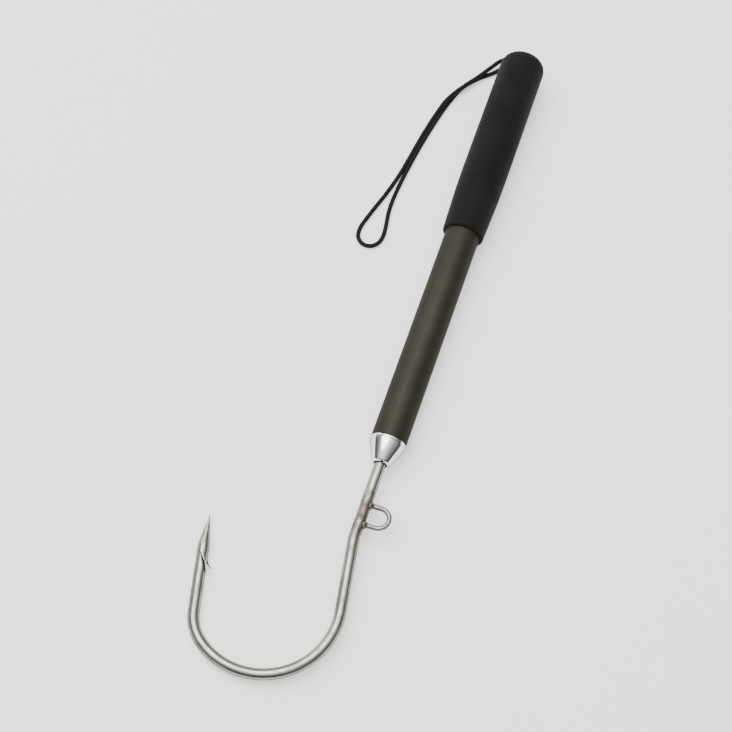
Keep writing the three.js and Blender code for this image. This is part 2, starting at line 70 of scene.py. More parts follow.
# The photograph's camera, in the row frame.
CAMERA_PLACE = (0.0925989, -0.5176334, 1.0205457)
CAMERA_RIGHT = (0.946359, 0.314747, 0.073070)
CAMERA_UP = (-0.313744, 0.841025, 0.440728)
CAMERA_LENS = 91.541
CAMERA_SHIFT = 0.5 / 732

# The lanyard's centreline in millimetres, from the knot behind the butt's wall, round the loop and back.
LANYARD_ROUTE = [
    (34.9, 212.1, 16.2), (34.9, 222.1, 16.5), (34.9, 226.7, 16.6), (34.8, 230.1, 15.8), (34.3, 232.9, 13.4),
    (33.3, 234.4, 10.2), (30.9, 235.4, 7.1), (24.4, 235.0, 4.6), (17.2, 229.4, 4.2), (12.8, 222.2, 4.1),
    (7.8, 212.8, 4.7), (-3.0, 195.3, 4.7), (-7.6, 185.6, 4.0), (-10.8, 174.4, 2.0), (-13.8, 158.3, 1.5),
    (-18.9, 122.0, 1.5), (-22.3, 106.3, 1.5), (-28.1, 85.1, 1.5), (-30.2, 74.7, 1.5), (-29.2, 68.5, 1.5),
    (-25.3, 64.9, 1.5), (-20.2, 64.9, 1.5), (-16.2, 68.4, 1.5), (-14.6, 74.4, 1.5), (-17.1, 98.4, 1.5),
    (-14.0, 139.4, 1.5), (-8.0, 176.6, 1.5), (-4.7, 190.0, 1.5), (-0.4, 201.8, 1.5), (7.0, 212.0, 1.5),
    (13.6, 218.5, 1.6), (17.7, 222.6, 2.2), (21.5, 226.9, 3.8), (24.9, 230.7, 6.6), (27.6, 232.9, 10.2),
    (29.5, 232.4, 13.3), (30.9, 230.2, 15.6), (31.7, 226.7, 16.5), (31.7, 222.1, 16.3), (31.7, 212.1, 16.0),
]

# How far a cutter reaches past what it cuts
OVERRUN = 2 * MM

# A weld bead's outline, from its foot on the shank to the wire: shares of its width and of its height
BEAD_OUTLINE = (
    (1, 0), (1, 0.4), (0.93, 0.46), (0.8, 0.51), (0.64, 0.57), (0.48, 0.65), (0.33, 0.76), (0.2, 0.9),
    (0.1, 1.04), (0, 1.14), (-0.12, 1.14), (-0.12, 0),
)


def length(name, description, millimetres):
    """A size in metres that is written in millimetres."""
    return FloatProperty(name=name, description=description, default=millimetres * MM, unit="LENGTH",
                         subtype="DISTANCE", precision=5)


def angle(name, description, degrees):
    """An angle in radians that is written in degrees."""
    return FloatProperty(name=name, description=description, default=math.radians(degrees), unit="ROTATION",
                         subtype="ANGLE")


def paint(name, description, colour):
    """A linear colour."""
    return FloatVectorProperty(name=name, description=description, default=colour, size=3, min=0, max=1,
                               subtype="COLOR")


class TubeSizes(bpy.types.PropertyGroup):
    """Sizes of the three drawn tubes and the bushes in their mouths."""
    outer_radius: length("Outer Radius", "Radius of the outer tube", 11)
    outer_wall: length("Outer Wall", "Wall of the outer tube", 1)
    outer_end: length("Outer End", "Station of the outer tube's rear end", 280.3)
    middle_radius: length("Middle Radius", "Radius of the middle tube", 8.5)
    middle_end: length("Middle End", "Station of the middle tube's rear end", 232.3)
    middle_pin: length("Middle Pin", "Station of the cross pin in the middle tube", 225.3)
    middle_hole: length("Middle Hole", "Radius of that pin's hole", 1.15)
    inner_radius: length("Inner Radius", "Radius of the inner tube", 6.1)
    inner_end: length("Inner End", "Station of the inner tube's rear end", 202.3)
    inner_pin: length("Inner Pin", "Station of the cross pin in the inner tube", 196.3)
    inner_hole: length("Inner Hole", "Radius of that pin's hole", 0.95)
    inner_wall: length("Inner Wall", "Wall of the middle and inner tubes", 0.9)
    front: length("Front", "Station of the tubes' front ends", 0.3)
    edge_break: length("Edge Break", "How far the cut edges are broken", 0.16)
    running_gap: length("Running Gap", "Clearance of a tube in its bush", 0.12)
    bush_front: length("Bush Front", "Station of the bushes' front faces", 0.9)
    outer_bush: length("Outer Bush", "Length of the bush in the outer tube", 14)
    middle_bush: length("Middle Bush", "Length of the bush in the middle tube", 12)
    segments: IntProperty(name="Segments", description="Sides of a turned piece", default=128, min=24)


class GripSizes(bpy.types.PropertyGroup):
    """Sizes of the foam grip."""
    front: length("Front", "Station of the grip's front face", 150)
    end: length("End", "Station of the butt's flat end", 291.4)
    bore: length("Bore", "Radius of the bore on the tube", 11.12)
    bore_end: length("Bore End", "Station where the bore ends in the butt", 282.4)
    hole: length("Cord Hole", "Radius of the cord's hole in the butt", 3.3)
    hole_round: length("Hole Round", "Radius of the round on that hole's edge", 0.6)
    front_radius: length("Front Radius", "Radius behind the rounded front edge", 13.2)
    front_edge: length("Front Edge", "Radius of the rounded front edge", 0.9)
    swell_radius: length("Swell Radius", "Radius where the grip rests on the floor", 14.38)
    swell_at: length("Swell At", "Distance of that radius from the front", 31)
    full_radius: length("Full Radius", "Largest radius", 14.6)
    full_at: length("Full At", "Distance of the largest radius from the front", 48)
    butt_radius: length("Butt Radius", "Radius where the dome begins", 14.5)
    dome_radius: length("Dome Radius", "Radius of the dome's round", 8)
    segments: IntProperty(name="Segments", description="Sides of the grip", default=128, min=24)
    colour: paint("Colour", "Foam", (0.0062, 0.0062, 0.0057))


class FerruleSizes(bpy.types.PropertyGroup):
    """Sizes of the turned aluminium ferrule."""
    radius: length("Radius", "Radius of the lip, the outer tube's own", 11)
    lip: length("Lip", "Width of the lip against the tube", 1.3)
    lip_step: length("Lip Step", "Height of the lip over the collar", 0.3)
    collar: length("Collar", "Length of the straight collar with its lip", 3.1)
    reach: length("Reach", "Length in front of the shoulder", 15.1)
    nose_radius: length("Nose Radius", "Radius where the cone ends", 6.2)
    nose_bevel: length("Nose Bevel", "Length of the nose's bevel", 1.7)
    face_radius: length("Face Radius", "Outer radius of the flat nose", 4.6)
    bore: length("Bore", "Radius of the hole for the hook", 3.8)
    recess: length("Recess", "Depth of the recess round the hook in the nose", 1.6)
    bore_depth: length("Bore Depth", "Depth of that hole behind the shoulder", 10)
    tail_bore: length("Tail Bore", "Radius of the hole for the hook's tail", 2.9)
    spigot: length("Spigot", "Length of the spigot in the inner tube", 20)
    spigot_radius: length("Spigot Radius", "Radius of the spigot", 5.08)
    spigot_chamfer: length("Spigot Chamfer", "Chamfer on the spigot's end", 0.6)
    edge_break: length("Edge Break", "How far the turned edges are broken", 0.14)
    pin_at: length("Pin At", "Station of the cross pin", 5)
    pin_radius: length("Pin Radius", "Radius of the pin's hole", 1.15)
    segments: IntProperty(name="Segments", description="Sides of the ferrule", default=160, min=24)
    colour: paint("Colour", "Polished aluminium", (0.83, 0.83, 0.82))


class HookSizes(bpy.types.PropertyGroup):
    """Sizes of the bent and barbed hook."""
    bar_radius: length("Bar Radius", "Radius of the bar", 3.4)
    shoulder: length("Shoulder", "Station of the shoulder in the ferrule", 9.7)
    tail_radius: length("Tail Radius", "Radius of the threaded tail", 2.5)
    tail: length("Tail", "Length of the threaded tail", 17.5)
    tail_chamfer: length("Tail Chamfer", "Chamfer on the tail's end", 0.7)
    shank: length("Shank", "Straight length in front of the tube's mouth", 62)
    kink_radius: length("Kink Radius", "Radius of the kink below the shank", 30)
    kink_turn: angle("Kink Turn", "Angle of the kink", 9.05)
    limb: length("Limb", "Straight length between kink and bend", 43.4)
    bend_radius: length("Bend Radius", "Radius of the large bend", 43.5)
    bend_turn: angle("Bend Turn", "Angle of the large bend", 135.9)
    throat_radius: length("Throat Radius", "Radius of the tighter bend", 28)
    throat_turn: angle("Throat Turn", "Angle of the tighter bend", 40.6)
    point_limb: length("Point Limb", "Straight length before the point", 39.9)
    point: length("Point", "Length of the ground point", 19.2)
    tip_radius: length("Tip Radius", "Half the width of the tip", 0.22)
    tip_lean: length("Tip Lean", "How far the tip leans towards the gape", 0.9)
    kerf_depth: length("Kerf Depth", "Depth of the sawn kerf", 3.4)
    kerf_length: length("Kerf Length", "Length of the sawn face", 10.6)
    kerf_root: length("Kerf Root", "Distance of the kerf's root behind the point", 5.4)
    barb_reach: length("Barb Reach", "Distance of the barb's tip behind the point", 13.9)
    barb_rise: length("Barb Rise", "Height of the barb's tip over the bar's axis", 6.4)
    barb_tip: length("Barb Tip", "Thickness of the barb's tip", 0.7)
    barb_tilt: angle("Barb Tilt", "How far the saw cut is turned up about the bar", 9)
    # The dark strip beside the kerf is partly saw-blackened steel and partly painted shade of the kerf's gap.
    burn_and_shade: length("Burn And Shade", "Width of the strip that the saw has blackened beside the kerf", 0.5)
    sides: IntProperty(name="Sides", description="Sides of the bar", default=64, min=16)
    colour: paint("Colour", "Stainless steel", (0.366, 0.365, 0.322))


class EyeSizes(bpy.types.PropertyGroup):
    """Sizes of the line eye and its two weld beads."""
    wire_radius: length("Wire Radius", "Radius of the eye's wire", 1.5)
    loop_radius: length("Loop Radius", "Radius of the loop", 6.3)
    station: length("Station", "Station of the loop's middle", -48.3)
    reach: length("Reach", "Distance of the loop's middle from the shaft's axis", 9.8)
    sink: length("Sink", "How far the wire's feet go into the shank", 0.4)
    weld_radius: length("Weld Radius", "Radius of a bead at the shank", 2.9)
    weld_height: length("Weld Height", "Height of a bead over the shank", 1.5)
    weld_sink: length("Weld Sink", "How far a bead goes into the shank", 1.2)
    ripple: length("Ripple", "Length of a bead's ripples", 1.6)
    ripple_depth: length("Ripple Depth", "Depth of a bead's ripples", 0.7)


class LanyardSizes(bpy.types.PropertyGroup):
    """Sizes of the braided cord."""
    radius: length("Radius", "Radius of the cord over the crowns of its braid", 1.46)
    relief: length("Relief", "Depth of the braid", 0.17)
    pick: length("Pick", "Length of one crossing along the cord", 1.55)
    carriers: IntProperty(name="Carriers", description="Strands that turn each way", default=8, min=3)
    colour: paint("Colour", "Cord", (0.005, 0.0048, 0.0048))


class StageSettings(bpy.types.PropertyGroup):
    """The floor and the lights."""
    floor_colour: paint("Floor", "Colour of the floor", (0.9, 0.9, 0.9))
    main: FloatProperty(name="Main", description="Power of the large softbox overhead", default=26,
                        unit="POWER")
    low: FloatProperty(name="Low", description="Power of the low softbox behind", default=5,
                       unit="POWER")
    surround: FloatProperty(name="Surround", description="Brightness of the surround", default=2.6)


SETTINGS = (
    ("gaff_tubes", TubeSizes), ("gaff_grip", GripSizes), ("gaff_ferrule", FerruleSizes),
    ("gaff_hook", HookSizes), ("gaff_eye", EyeSizes), ("gaff_lanyard", LanyardSizes),
    ("gaff_stage", StageSettings),
)


# Bench work

def clear_bench():
    """Leaves edit mode and deselects everything."""
    active = bpy.context.view_layer.objects.active
    if active is not None and active.mode != "OBJECT":
        bpy.ops.object.mode_set(mode="OBJECT")
    bpy.ops.object.select_all(action="DESELECT")


def pick_up(piece):
    """Makes a piece the only one selected."""
    clear_bench()
    piece.select_set(True)
    bpy.context.view_layer.objects.active = piece


def open_mesh(piece):
    """Edit mode with all of the piece's mesh selected."""
    pick_up(piece)
    bpy.ops.object.mode_set(mode="EDIT")
    bpy.ops.mesh.select_mode(type="VERT")
    bpy.ops.mesh.select_all(action="SELECT")


def mark(piece, chosen):
    """Selects the vertices of a piece that an array of truths names, in edit mode."""
    bpy.ops.mesh.select_all(action="DESELECT")
    bpy.ops.object.mode_set(mode="OBJECT")
    piece.data.vertices.foreach_set("select", chosen)
    bpy.ops.object.mode_set(mode="EDIT")


def close_mesh(threshold=1e-6):
    """Merges doubles, turns all faces outwards and leaves edit mode."""
    bpy.ops.mesh.select_all(action="SELECT")
    bpy.ops.mesh.remove_doubles(threshold=threshold)
    bpy.ops.mesh.normals_make_consistent(inside=False)
    bpy.ops.object.mode_set(mode="OBJECT")


def draw_out(offset, about=None, scale=None):
    """Extrudes what is selected, then scales its new end about a point."""
    bpy.ops.mesh.extrude_region_move(TRANSFORM_OT_translate={"value": offset})
    if scale is not None:
        bpy.ops.transform.resize(value=scale, center_override=about)


def use_modifier(piece, kind, **settings):
    """Adds a modifier with its settings and applies it."""
    pick_up(piece)
    bpy.ops.object.modifier_add(type=kind)
    modifier = piece.modifiers[-1]
    for key, value in settings.items():
        setattr(modifier, key, value)
    bpy.ops.object.modifier_apply(modifier=modifier.name)


def settle(piece):
    """Moves a piece's place into its mesh."""
    pick_up(piece)
    bpy.ops.object.transform_apply(location=True, rotation=True, scale=True)


def set_down(piece, matrix):
    """Puts a piece in its place. A place that mirrors it turns its faces in, so they are turned out again."""
    piece.matrix_world = matrix
    settle(piece)
    if matrix.determinant() < 0:
        open_mesh(piece)
        close_mesh()


def outline(name, corners):
    """Drops one vertex at the first corner and draws a chain of edges out of it to the others."""
    clear_bench()
    bpy.ops.mesh.primitive_plane_add(size=MM)
    piece = bpy.context.active_object
    piece.name = piece.data.name = name
    open_mesh(piece)
    bpy.ops.mesh.merge(type="CENTER")
    bpy.ops.transform.translate(value=Vector(corners[0]))
    for before, after in zip(corners, corners[1:]):
        draw_out(Vector(after) - Vector(before))
    return piece


def start_bar(name, sides, radius, place, turn):
    """A filled circle to draw a bar out of, in edit mode."""
    clear_bench()
    bpy.ops.mesh.primitive_circle_add(vertices=sides, radius=radius, fill_type="NOTHING", location=place,
                                      rotation=turn)
    piece = bpy.context.active_object
    piece.name = piece.data.name = name
    settle(piece)
    open_mesh(piece)
    bpy.ops.mesh.edge_face_add()
    return piece


def rounded(radius, station, corner, start, stop, steps):
    """Places of (radius, station) on a rounded corner between two angles in degrees, 0 facing outwards."""
    turns = [math.radians(start + (stop - start) * i / steps) for i in range(steps + 1)]
    return [(radius + corner * math.cos(turn), station + corner * math.sin(turn)) for turn in turns]


def turn_on_lathe(name, profile, segments, edge_break=0.0, smooth=30):
    """Turns a profile of (radius, station) corners about the shaft's axis. A profile that starts or ends
    off the axis closes on itself."""
    closed = profile if profile[0][0] == 0 and profile[-1][0] == 0 else [*profile, profile[0]]
    piece = outline(name, [(radius, station, 0) for radius, station in closed])
    bpy.ops.mesh.select_all(action="SELECT")
    bpy.ops.mesh.spin(steps=segments, angle=math.tau, center=(0, 0, 0), axis=(0, 1, 0))
    close_mesh()
    if edge_break:
        use_modifier(piece, "BEVEL", width=edge_break, segments=2, limit_method="ANGLE",
                     angle_limit=math.radians(28), use_clamp_overlap=True)
    smooth_over(piece, smooth)
    return piece


def smooth_over(piece, degrees):
    """Smooth shading, but not over edges sharper than an angle."""
    pick_up(piece)
    bpy.ops.object.shade_smooth_by_angle(angle=math.radians(degrees))


def cut_with(piece, cutter, operation="DIFFERENCE"):
    """Cuts a piece with another, or joins it on, and throws the other away."""
    use_modifier(piece, "BOOLEAN", operation=operation, solver="EXACT", object=cutter)
    bpy.data.objects.remove(cutter)


def cross_drill(piece, radius, reach, station):
    """Drills a hole right through a piece, along X, that reaches this far from the axis."""
    clear_bench()
    bpy.ops.mesh.primitive_cylinder_add(vertices=32, radius=radius, depth=2 * (reach + OVERRUN),
                                        location=(0, station, 0), rotation=(0, math.pi / 2, 0))
    drill = bpy.context.active_object
    settle(drill)
    cut_with(piece, drill)


def hand_over(piece, body, slot, finish, *nodes):
    """Gives a finished piece its material, its body and the nodes that it stands for. Its slot is not used.
    """
    piece.data.materials.clear()
    piece.data.materials.append(finish)
    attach(piece, body)
    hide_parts(*nodes)


def refinish(names, finish):
    """Gives CAD nodes a material."""
    for name in names:
        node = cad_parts[name]
        node.data.materials.clear()
        node.data.materials.append(finish)


def keep_unbent(piece, places):
    """Stores each vertex's place on the unbent bar or wire, for the finish to read."""
    attribute = piece.data.attributes.new("unbent", "FLOAT_VECTOR", "POINT")
    attribute.data.foreach_set("vector", np.asarray(places, np.float32).ravel())


def mesh_points(piece):
    """All vertices of a piece as an array."""
    points = np.zeros(len(piece.data.vertices) * 3, np.float32)
    piece.data.vertices.foreach_get("co", points)
    return points.reshape(-1, 3).astype(float)


# Finishes

def add(tree, kind, **values):
    """A node with its settings and the values of its unlinked sockets."""
    made = tree.nodes.new(kind)
    for key, value in values.items():
        if hasattr(made, key):
            setattr(made, key, value)
        else:
            made.inputs[key.replace("_", " ")].default_value = value
    return made


def wire(tree, *pairs):
    """Links pairs of output and input sockets."""
    for source, target in pairs:
        tree.links.new(source, target)


def sum_up(tree, operation, first, second):
    """A Math node on two sockets or numbers."""
    made = tree.nodes.new("ShaderNodeMath")
    made.operation = operation
    for socket, value in zip(made.inputs, (first, second)):
        if isinstance(value, (int, float)):
            socket.default_value = value
        else:
            tree.links.new(value, socket)
    return made.outputs[0]


def ramp(tree, factor, stops):
    """A colour ramp with stops of (place, grey or colour)."""
    made = tree.nodes.new("ShaderNodeValToRGB")
    points = made.color_ramp.elements
    while len(points) < len(stops):
        points.new(1)
    for point, (place, colour) in zip(points, stops):
        point.position = place
        point.color = (colour, colour, colour, 1) if isinstance(colour, (int, float)) else (*colour, 1)
    tree.links.new(factor, made.inputs["Fac"])
    return made.outputs["Color"]


def blend_colours(tree, factor, first, second, kind="MIX"):
    """A Mix node for colours."""
    made = tree.nodes.new("ShaderNodeMix")
    made.data_type = "RGBA"
    made.blend_type = kind
    for socket, value in ((made.inputs[0], factor), (made.inputs[6], first), (made.inputs[7], second)):
        if isinstance(value, bpy.types.NodeSocket):
            tree.links.new(value, socket)
        elif isinstance(value, (int, float)):
            socket.default_value = value
        else:
            socket.default_value = (*value, 1)
    return made.outputs[2]


def group_of(name, inputs, outputs):
    """An empty node group that takes a vector and named numbers with defaults, and puts out numbers."""
    tree = bpy.data.node_groups.new(name, "ShaderNodeTree")
    tree.interface.new_socket("Vector", in_out="INPUT", socket_type="NodeSocketVector")
    for label, default in inputs.items():
        socket = tree.interface.new_socket(label, in_out="INPUT", socket_type="NodeSocketFloat")
        socket.default_value = default
    for label in outputs:
        tree.interface.new_socket(label, in_out="OUTPUT", socket_type="NodeSocketFloat")
    return tree, tree.nodes.new("NodeGroupInput").outputs, tree.nodes.new("NodeGroupOutput").inputs


def drawn_lines_group():
    """Fine lines along Y, as drawing or turning leaves them, with a slow change of depth."""
    tree, given, out = group_of("Drawn Lines", {"Lines": 4000.0, "Stretch": 0.02}, ("Height", "Streak"))
    size = add(tree, "ShaderNodeCombineXYZ")
    wire(tree, (given["Lines"], size.inputs["X"]), (given["Lines"], size.inputs["Z"]),
         (sum_up(tree, "MULTIPLY", given["Lines"], given["Stretch"]), size.inputs["Y"]))
    spread = add(tree, "ShaderNodeVectorMath", operation="MULTIPLY")
    wire(tree, (given["Vector"], spread.inputs[0]), (size.outputs[0], spread.inputs[1]))
    fine = add(tree, "ShaderNodeTexNoise", Scale=1.0, Detail=3.0, Roughness=0.6)
    slow = add(tree, "ShaderNodeTexNoise", Scale=0.12, Detail=2.0)
    wire(tree, (spread.outputs[0], fine.inputs["Vector"]), (spread.outputs[0], slow.inputs["Vector"]))
    height = sum_up(tree, "MULTIPLY", fine.outputs["Fac"], slow.outputs["Fac"])
    wire(tree, (height, out["Height"]), (slow.outputs["Fac"], out["Streak"]))
    return tree


def handled_group():
    """Blotches, flecks and small dents of a surface that has been handled."""
    tree, given, out = group_of("Handled Surface", {"Scale": 90.0, "Fleck Scale": 900.0},
                                ("Blotch", "Fleck", "Height"))
    blotch = add(tree, "ShaderNodeTexNoise", Detail=6.0, Roughness=0.62, Distortion=0.4)
    fleck = add(tree, "ShaderNodeTexNoise", Detail=2.0, Roughness=0.5)
    wire(tree, (given["Vector"], blotch.inputs["Vector"]), (given["Scale"], blotch.inputs["Scale"]),
         (given["Vector"], fleck.inputs["Vector"]), (given["Fleck Scale"], fleck.inputs["Scale"]))
    spots = ramp(tree, fleck.outputs["Fac"], [(0.64, 0.0), (0.74, 1.0)])
    height = sum_up(tree, "SUBTRACT", blotch.outputs["Fac"], sum_up(tree, "MULTIPLY", spots, 0.5))
    wire(tree, (blotch.outputs["Fac"], out["Blotch"]), (spots, out["Fleck"]), (height, out["Height"]))
    return tree


def foam_group():
    """Closed cells of a cut and buffed foam."""
    tree, given, out = group_of("Foam Cells", {"Cells": 2600.0}, ("Height", "Bloom"))
    cells = add(tree, "ShaderNodeTexVoronoi", feature="F1", Randomness=1.0)
    grain = add(tree, "ShaderNodeTexNoise", Detail=4.0, Roughness=0.7)
    bloom = add(tree, "ShaderNodeTexNoise", Scale=38.0, Detail=5.0, Roughness=0.65)
    wire(tree, *((given["Vector"], noise.inputs["Vector"]) for noise in (cells, grain, bloom)))
    wire(tree, (given["Cells"], cells.inputs["Scale"]),
         (sum_up(tree, "MULTIPLY", given["Cells"], 0.45), grain.inputs["Scale"]))
    height = sum_up(tree, "ADD", cells.outputs["Distance"], grain.outputs["Fac"])
    wire(tree, (height, out["Height"]), (bloom.outputs["Fac"], out["Bloom"]))
    return tree


GROUP_MAKERS = {
    "Drawn Lines": drawn_lines_group, "Handled Surface": handled_group, "Foam Cells": foam_group,
}


def placed_group(tree, name, vector, **values):
    """One of the shared groups, on a vector and with this material's own values."""
    made = tree.nodes.new("ShaderNodeGroup")
    made.node_tree = bpy.data.node_groups.get(name) or GROUP_MAKERS[name]()
    tree.links.new(vector, made.inputs["Vector"])
    for key, value in values.items():
        made.inputs[key.replace("_", " ")].default_value = value
    return made


def finish_of(name, **sockets):
    """A new material: its tree, its Principled BSDF, its object coordinates."""
    material = bpy.data.materials.new(name)
    material.use_nodes = True
    tree = material.node_tree
    skin = tree.nodes["Principled BSDF"]
    for key, value in sockets.items():
        value = (*value, 1) if isinstance(value, tuple) and len(value) == 3 else value
        skin.inputs[key.replace("_", " ")].default_value = value
    place = tree.nodes.new("ShaderNodeTexCoord").outputs["Object"]
    return material, tree, skin, place


def lay_over(tree, tint, mask, share, colour):
    """Lays a colour over a tint by a share of a mask."""
    return blend_colours(tree, sum_up(tree, "MULTIPLY", mask, share), tint, colour)


def coat(tree, skin, tint, rough, height, depth, strength):
    """Gives a shader its tint, a roughness if one is named, and relief of a depth in metres."""
    relief = add(tree, "ShaderNodeBump", Strength=strength, Distance=depth)
    wire(tree, (tint, skin.inputs["Base Color"]), (height, relief.inputs["Height"]),
         (relief.outputs["Normal"], skin.inputs["Normal"]))
    if rough is not None:
        wire(tree, (rough, skin.inputs["Roughness"]))


def handled_skin(tree, skin, vector, sizes, tints, roughs, dents, flecks=None):
    """Gives a shader a handled surface: sizes are the noise scales of blotches and flecks, tints and roughs
    ramps over the blotches, dents a depth and a strength, and flecks their colour."""
    worn = placed_group(tree, "Handled Surface", vector, Scale=sizes[0], Fleck_Scale=sizes[1])
    tint = ramp(tree, worn.outputs["Blotch"], tints)
    if flecks is not None:
        tint = blend_colours(tree, worn.outputs["Fleck"], tint, flecks)
    rough = None if roughs is None else ramp(tree, worn.outputs["Blotch"], roughs)
    coat(tree, skin, tint, rough, worn.outputs["Height"], *dents)


def along_shaft(tree, place):
    """Object coordinates turned so that Y runs along the shaft, with its axis at zero."""
    made = add(tree, "ShaderNodeMapping", vector_type="TEXTURE", Location=SHAFT_PLACE,
               Rotation=(SHAFT_LEAN, 0, 0))
    wire(tree, (place, made.inputs["Vector"]))
    return made.outputs["Vector"]


def foam_finish(colour):
    """Matt black closed-cell foam, a little greyer where it is rubbed."""
    material, tree, skin, place = finish_of("Black Foam", Roughness=0.8, Specular_IOR_Level=0.12,
                                            Sheen_Weight=0.02, Sheen_Roughness=0.5)
    cells = placed_group(tree, "Foam Cells", place, Cells=4200.0)
    worn = tuple(min(1, c * 1.45) for c in colour)
    tint = ramp(tree, cells.outputs["Bloom"], [(0.3, colour), (0.75, worn)])
    rough = ramp(tree, cells.outputs["Bloom"], [(0.25, 0.88), (0.8, 0.7)])
    coat(tree, skin, tint, rough, cells.outputs["Height"], 0.09 * MM, 0.6)
    return material


def anodised_finish():
    """Dark olive anodised aluminium with fine drawn lines."""
    material, tree, skin, place = finish_of("Olive Anodised Tube", Metallic=0.7, Roughness=0.55,
                                            Specular_Tint=(0.5, 0.5, 0.5, 1))
    straight = along_shaft(tree, place)
    lines = placed_group(tree, "Drawn Lines", straight, Lines=5200.0, Stretch=0.008)
    worn = placed_group(tree, "Handled Surface", straight, Scale=60.0, Fleck_Scale=1500.0)
    tint = ramp(tree, worn.outputs["Blotch"], [(0.3, (0.031, 0.0293, 0.0215)), (0.7, (0.039, 0.0368, 0.027))])
    tint = lay_over(tree, tint, worn.outputs["Fleck"], 0.25, (0.08, 0.077, 0.065))
    tint = lay_over(tree, tint, lines.outputs["Streak"], 0.22, (0.055, 0.052, 0.04))
    rough = ramp(tree, lines.outputs["Streak"], [(0.3, 0.54), (0.7, 0.66)])
    coat(tree, skin, tint, rough, lines.outputs["Height"], 0.02 * MM, 0.5)
    return material


def bare_tube_finish():
    """Bare drawn aluminium of the inner stages, with rubbed streaks."""
    material, tree, skin, place = finish_of("Bare Drawn Tube", Metallic=1.0, Roughness=0.3)
    straight = along_shaft(tree, place)
    lines = placed_group(tree, "Drawn Lines", straight, Lines=4200.0, Stretch=0.006)
    worn = placed_group(tree, "Handled Surface", straight, Scale=70.0, Fleck_Scale=1100.0)
    tint = ramp(tree, worn.outputs["Blotch"], [(0.3, (0.5, 0.51, 0.52)), (0.7, (0.66, 0.67, 0.68))])
    tint = lay_over(tree, tint, worn.outputs["Fleck"], 0.4, (0.3, 0.3, 0.3))
    rough = ramp(tree, lines.outputs["Streak"], [(0.3, 0.22), (0.7, 0.4)])
    coat(tree, skin, tint, rough, lines.outputs["Height"], 0.03 * MM, 0.6)
    return material


def polished_finish(colour):
    """Turned and polished aluminium: faint tool rings, a few marks."""
    material, tree, skin, place = finish_of("Polished Aluminium", Metallic=1.0, Roughness=0.1,
                                            Specular_Tint=(0.4, 0.4, 0.4, 1))
    straight = along_shaft(tree, place)
    rings = add(tree, "ShaderNodeTexNoise", Scale=1.0, Detail=2.0)
    squeeze = add(tree, "ShaderNodeVectorMath", operation="MULTIPLY")
    squeeze.inputs[1].default_value = (20, 9000, 20)
    wire(tree, (straight, squeeze.inputs[0]), (squeeze.outputs[0], rings.inputs["Vector"]))
    worn = placed_group(tree, "Handled Surface", place, Scale=160.0, Fleck_Scale=1400.0)
    dull = tuple(c * 0.86 for c in colour)
    tint = ramp(tree, worn.outputs["Blotch"], [(0.35, colour), (0.75, dull)])
    rough = ramp(tree, worn.outputs["Blotch"], [(0.3, 0.07), (0.8, 0.17)])
    coat(tree, skin, tint, rough, rings.outputs["Fac"], 0.012 * MM, 0.5)
    return material


def steel_finish(name, colour, roughness, scorched=()):
    """Stainless bar in its own unbent coordinates: drawn lines, dull blotches, dark flecks, and heat tint
    round the scorched stations."""
    material, tree, skin, _ = finish_of(name, Metallic=1.0, Roughness=roughness,
                                        Specular_Tint=(0.15, 0.15, 0.15, 1))
    unbent = add(tree, "ShaderNodeAttribute", attribute_name="unbent").outputs["Vector"]
    lines = placed_group(tree, "Drawn Lines", unbent, Lines=3600.0, Stretch=0.03)
    stretched = add(tree, "ShaderNodeVectorMath", operation="MULTIPLY")
    stretched.inputs[1].default_value = (1, 0.4, 1)
    wire(tree, (unbent, stretched.inputs[0]))
    worn = placed_group(tree, "Handled Surface", stretched.outputs[0], Scale=300.0, Fleck_Scale=1300.0)
    dull = tuple(c * 0.58 for c in colour)
    tint = ramp(tree, worn.outputs["Blotch"], [(0.36, dull), (0.58, colour)])
    tint = lay_over(tree, tint, worn.outputs["Fleck"], 0.55, (0.12, 0.11, 0.1))
    rough = ramp(tree, worn.outputs["Blotch"], [(0.3, roughness + 0.1), (0.7, roughness - 0.04)])
    soot = placed_group(tree, "Handled Surface", stretched.outputs[0], Scale=620.0, Fleck_Scale=1300.0)
    soot = ramp(tree, soot.outputs["Blotch"], [(0.4, 0.65), (0.53, 0.0)])
    for station in scorched:
        gap = add(tree, "ShaderNodeVectorMath", operation="DISTANCE")
        gap.inputs[1].default_value = (3.4 * MM, station, 0)
        wire(tree, (unbent, gap.inputs[0]))
        ragged = sum_up(tree, "MULTIPLY", sum_up(tree, "SUBTRACT", worn.outputs["Blotch"], 0.5), 22 * MM)
        far = sum_up(tree, "DIVIDE", sum_up(tree, "ADD", gap.outputs["Value"], ragged), 15 * MM)
        scorch = ramp(tree, far, [(0.3, 1.0), (1.0, 0.0)])
        heat = ramp(tree, far, [
            (0.1, (0.13, 0.12, 0.1)), (0.35, (0.19, 0.165, 0.12)), (0.55, (0.26, 0.23, 0.17)),
            (0.75, (0.31, 0.29, 0.24)), (1.0, (0.36, 0.35, 0.325))])
        tint = lay_over(tree, tint, scorch, 0.62, heat)
        tint = lay_over(tree, tint, scorch, soot, (0.07, 0.062, 0.05))
        rough = sum_up(tree, "ADD", rough, sum_up(tree, "MULTIPLY", scorch, 0.14))
    drawn = sum_up(tree, "MULTIPLY", lines.outputs["Height"], 0.6)
    height = sum_up(tree, "ADD", drawn, worn.outputs["Height"])
    coat(tree, skin, tint, rough, height, 0.05 * MM, 0.55)
    return material


def sawn_and_shaded_finish():
    """The dark faces of the kerf, the strip beside it and the barb's underside and tip: partly saw-blackened
    steel, partly painted shade of the kerf's gap and under the barb.
    """
    material, tree, skin, place = finish_of("Sawn Steel With Painted Shade", Roughness=0.7, Specular_IOR_Level=0.15)
    tints = [(0.35, (0.006, 0.006, 0.006)), (0.75, (0.03, 0.028, 0.026))]
    handled_skin(tree, skin, place, (900.0, 3000.0), tints, None, (0.06 * MM, 0.6))
    return material


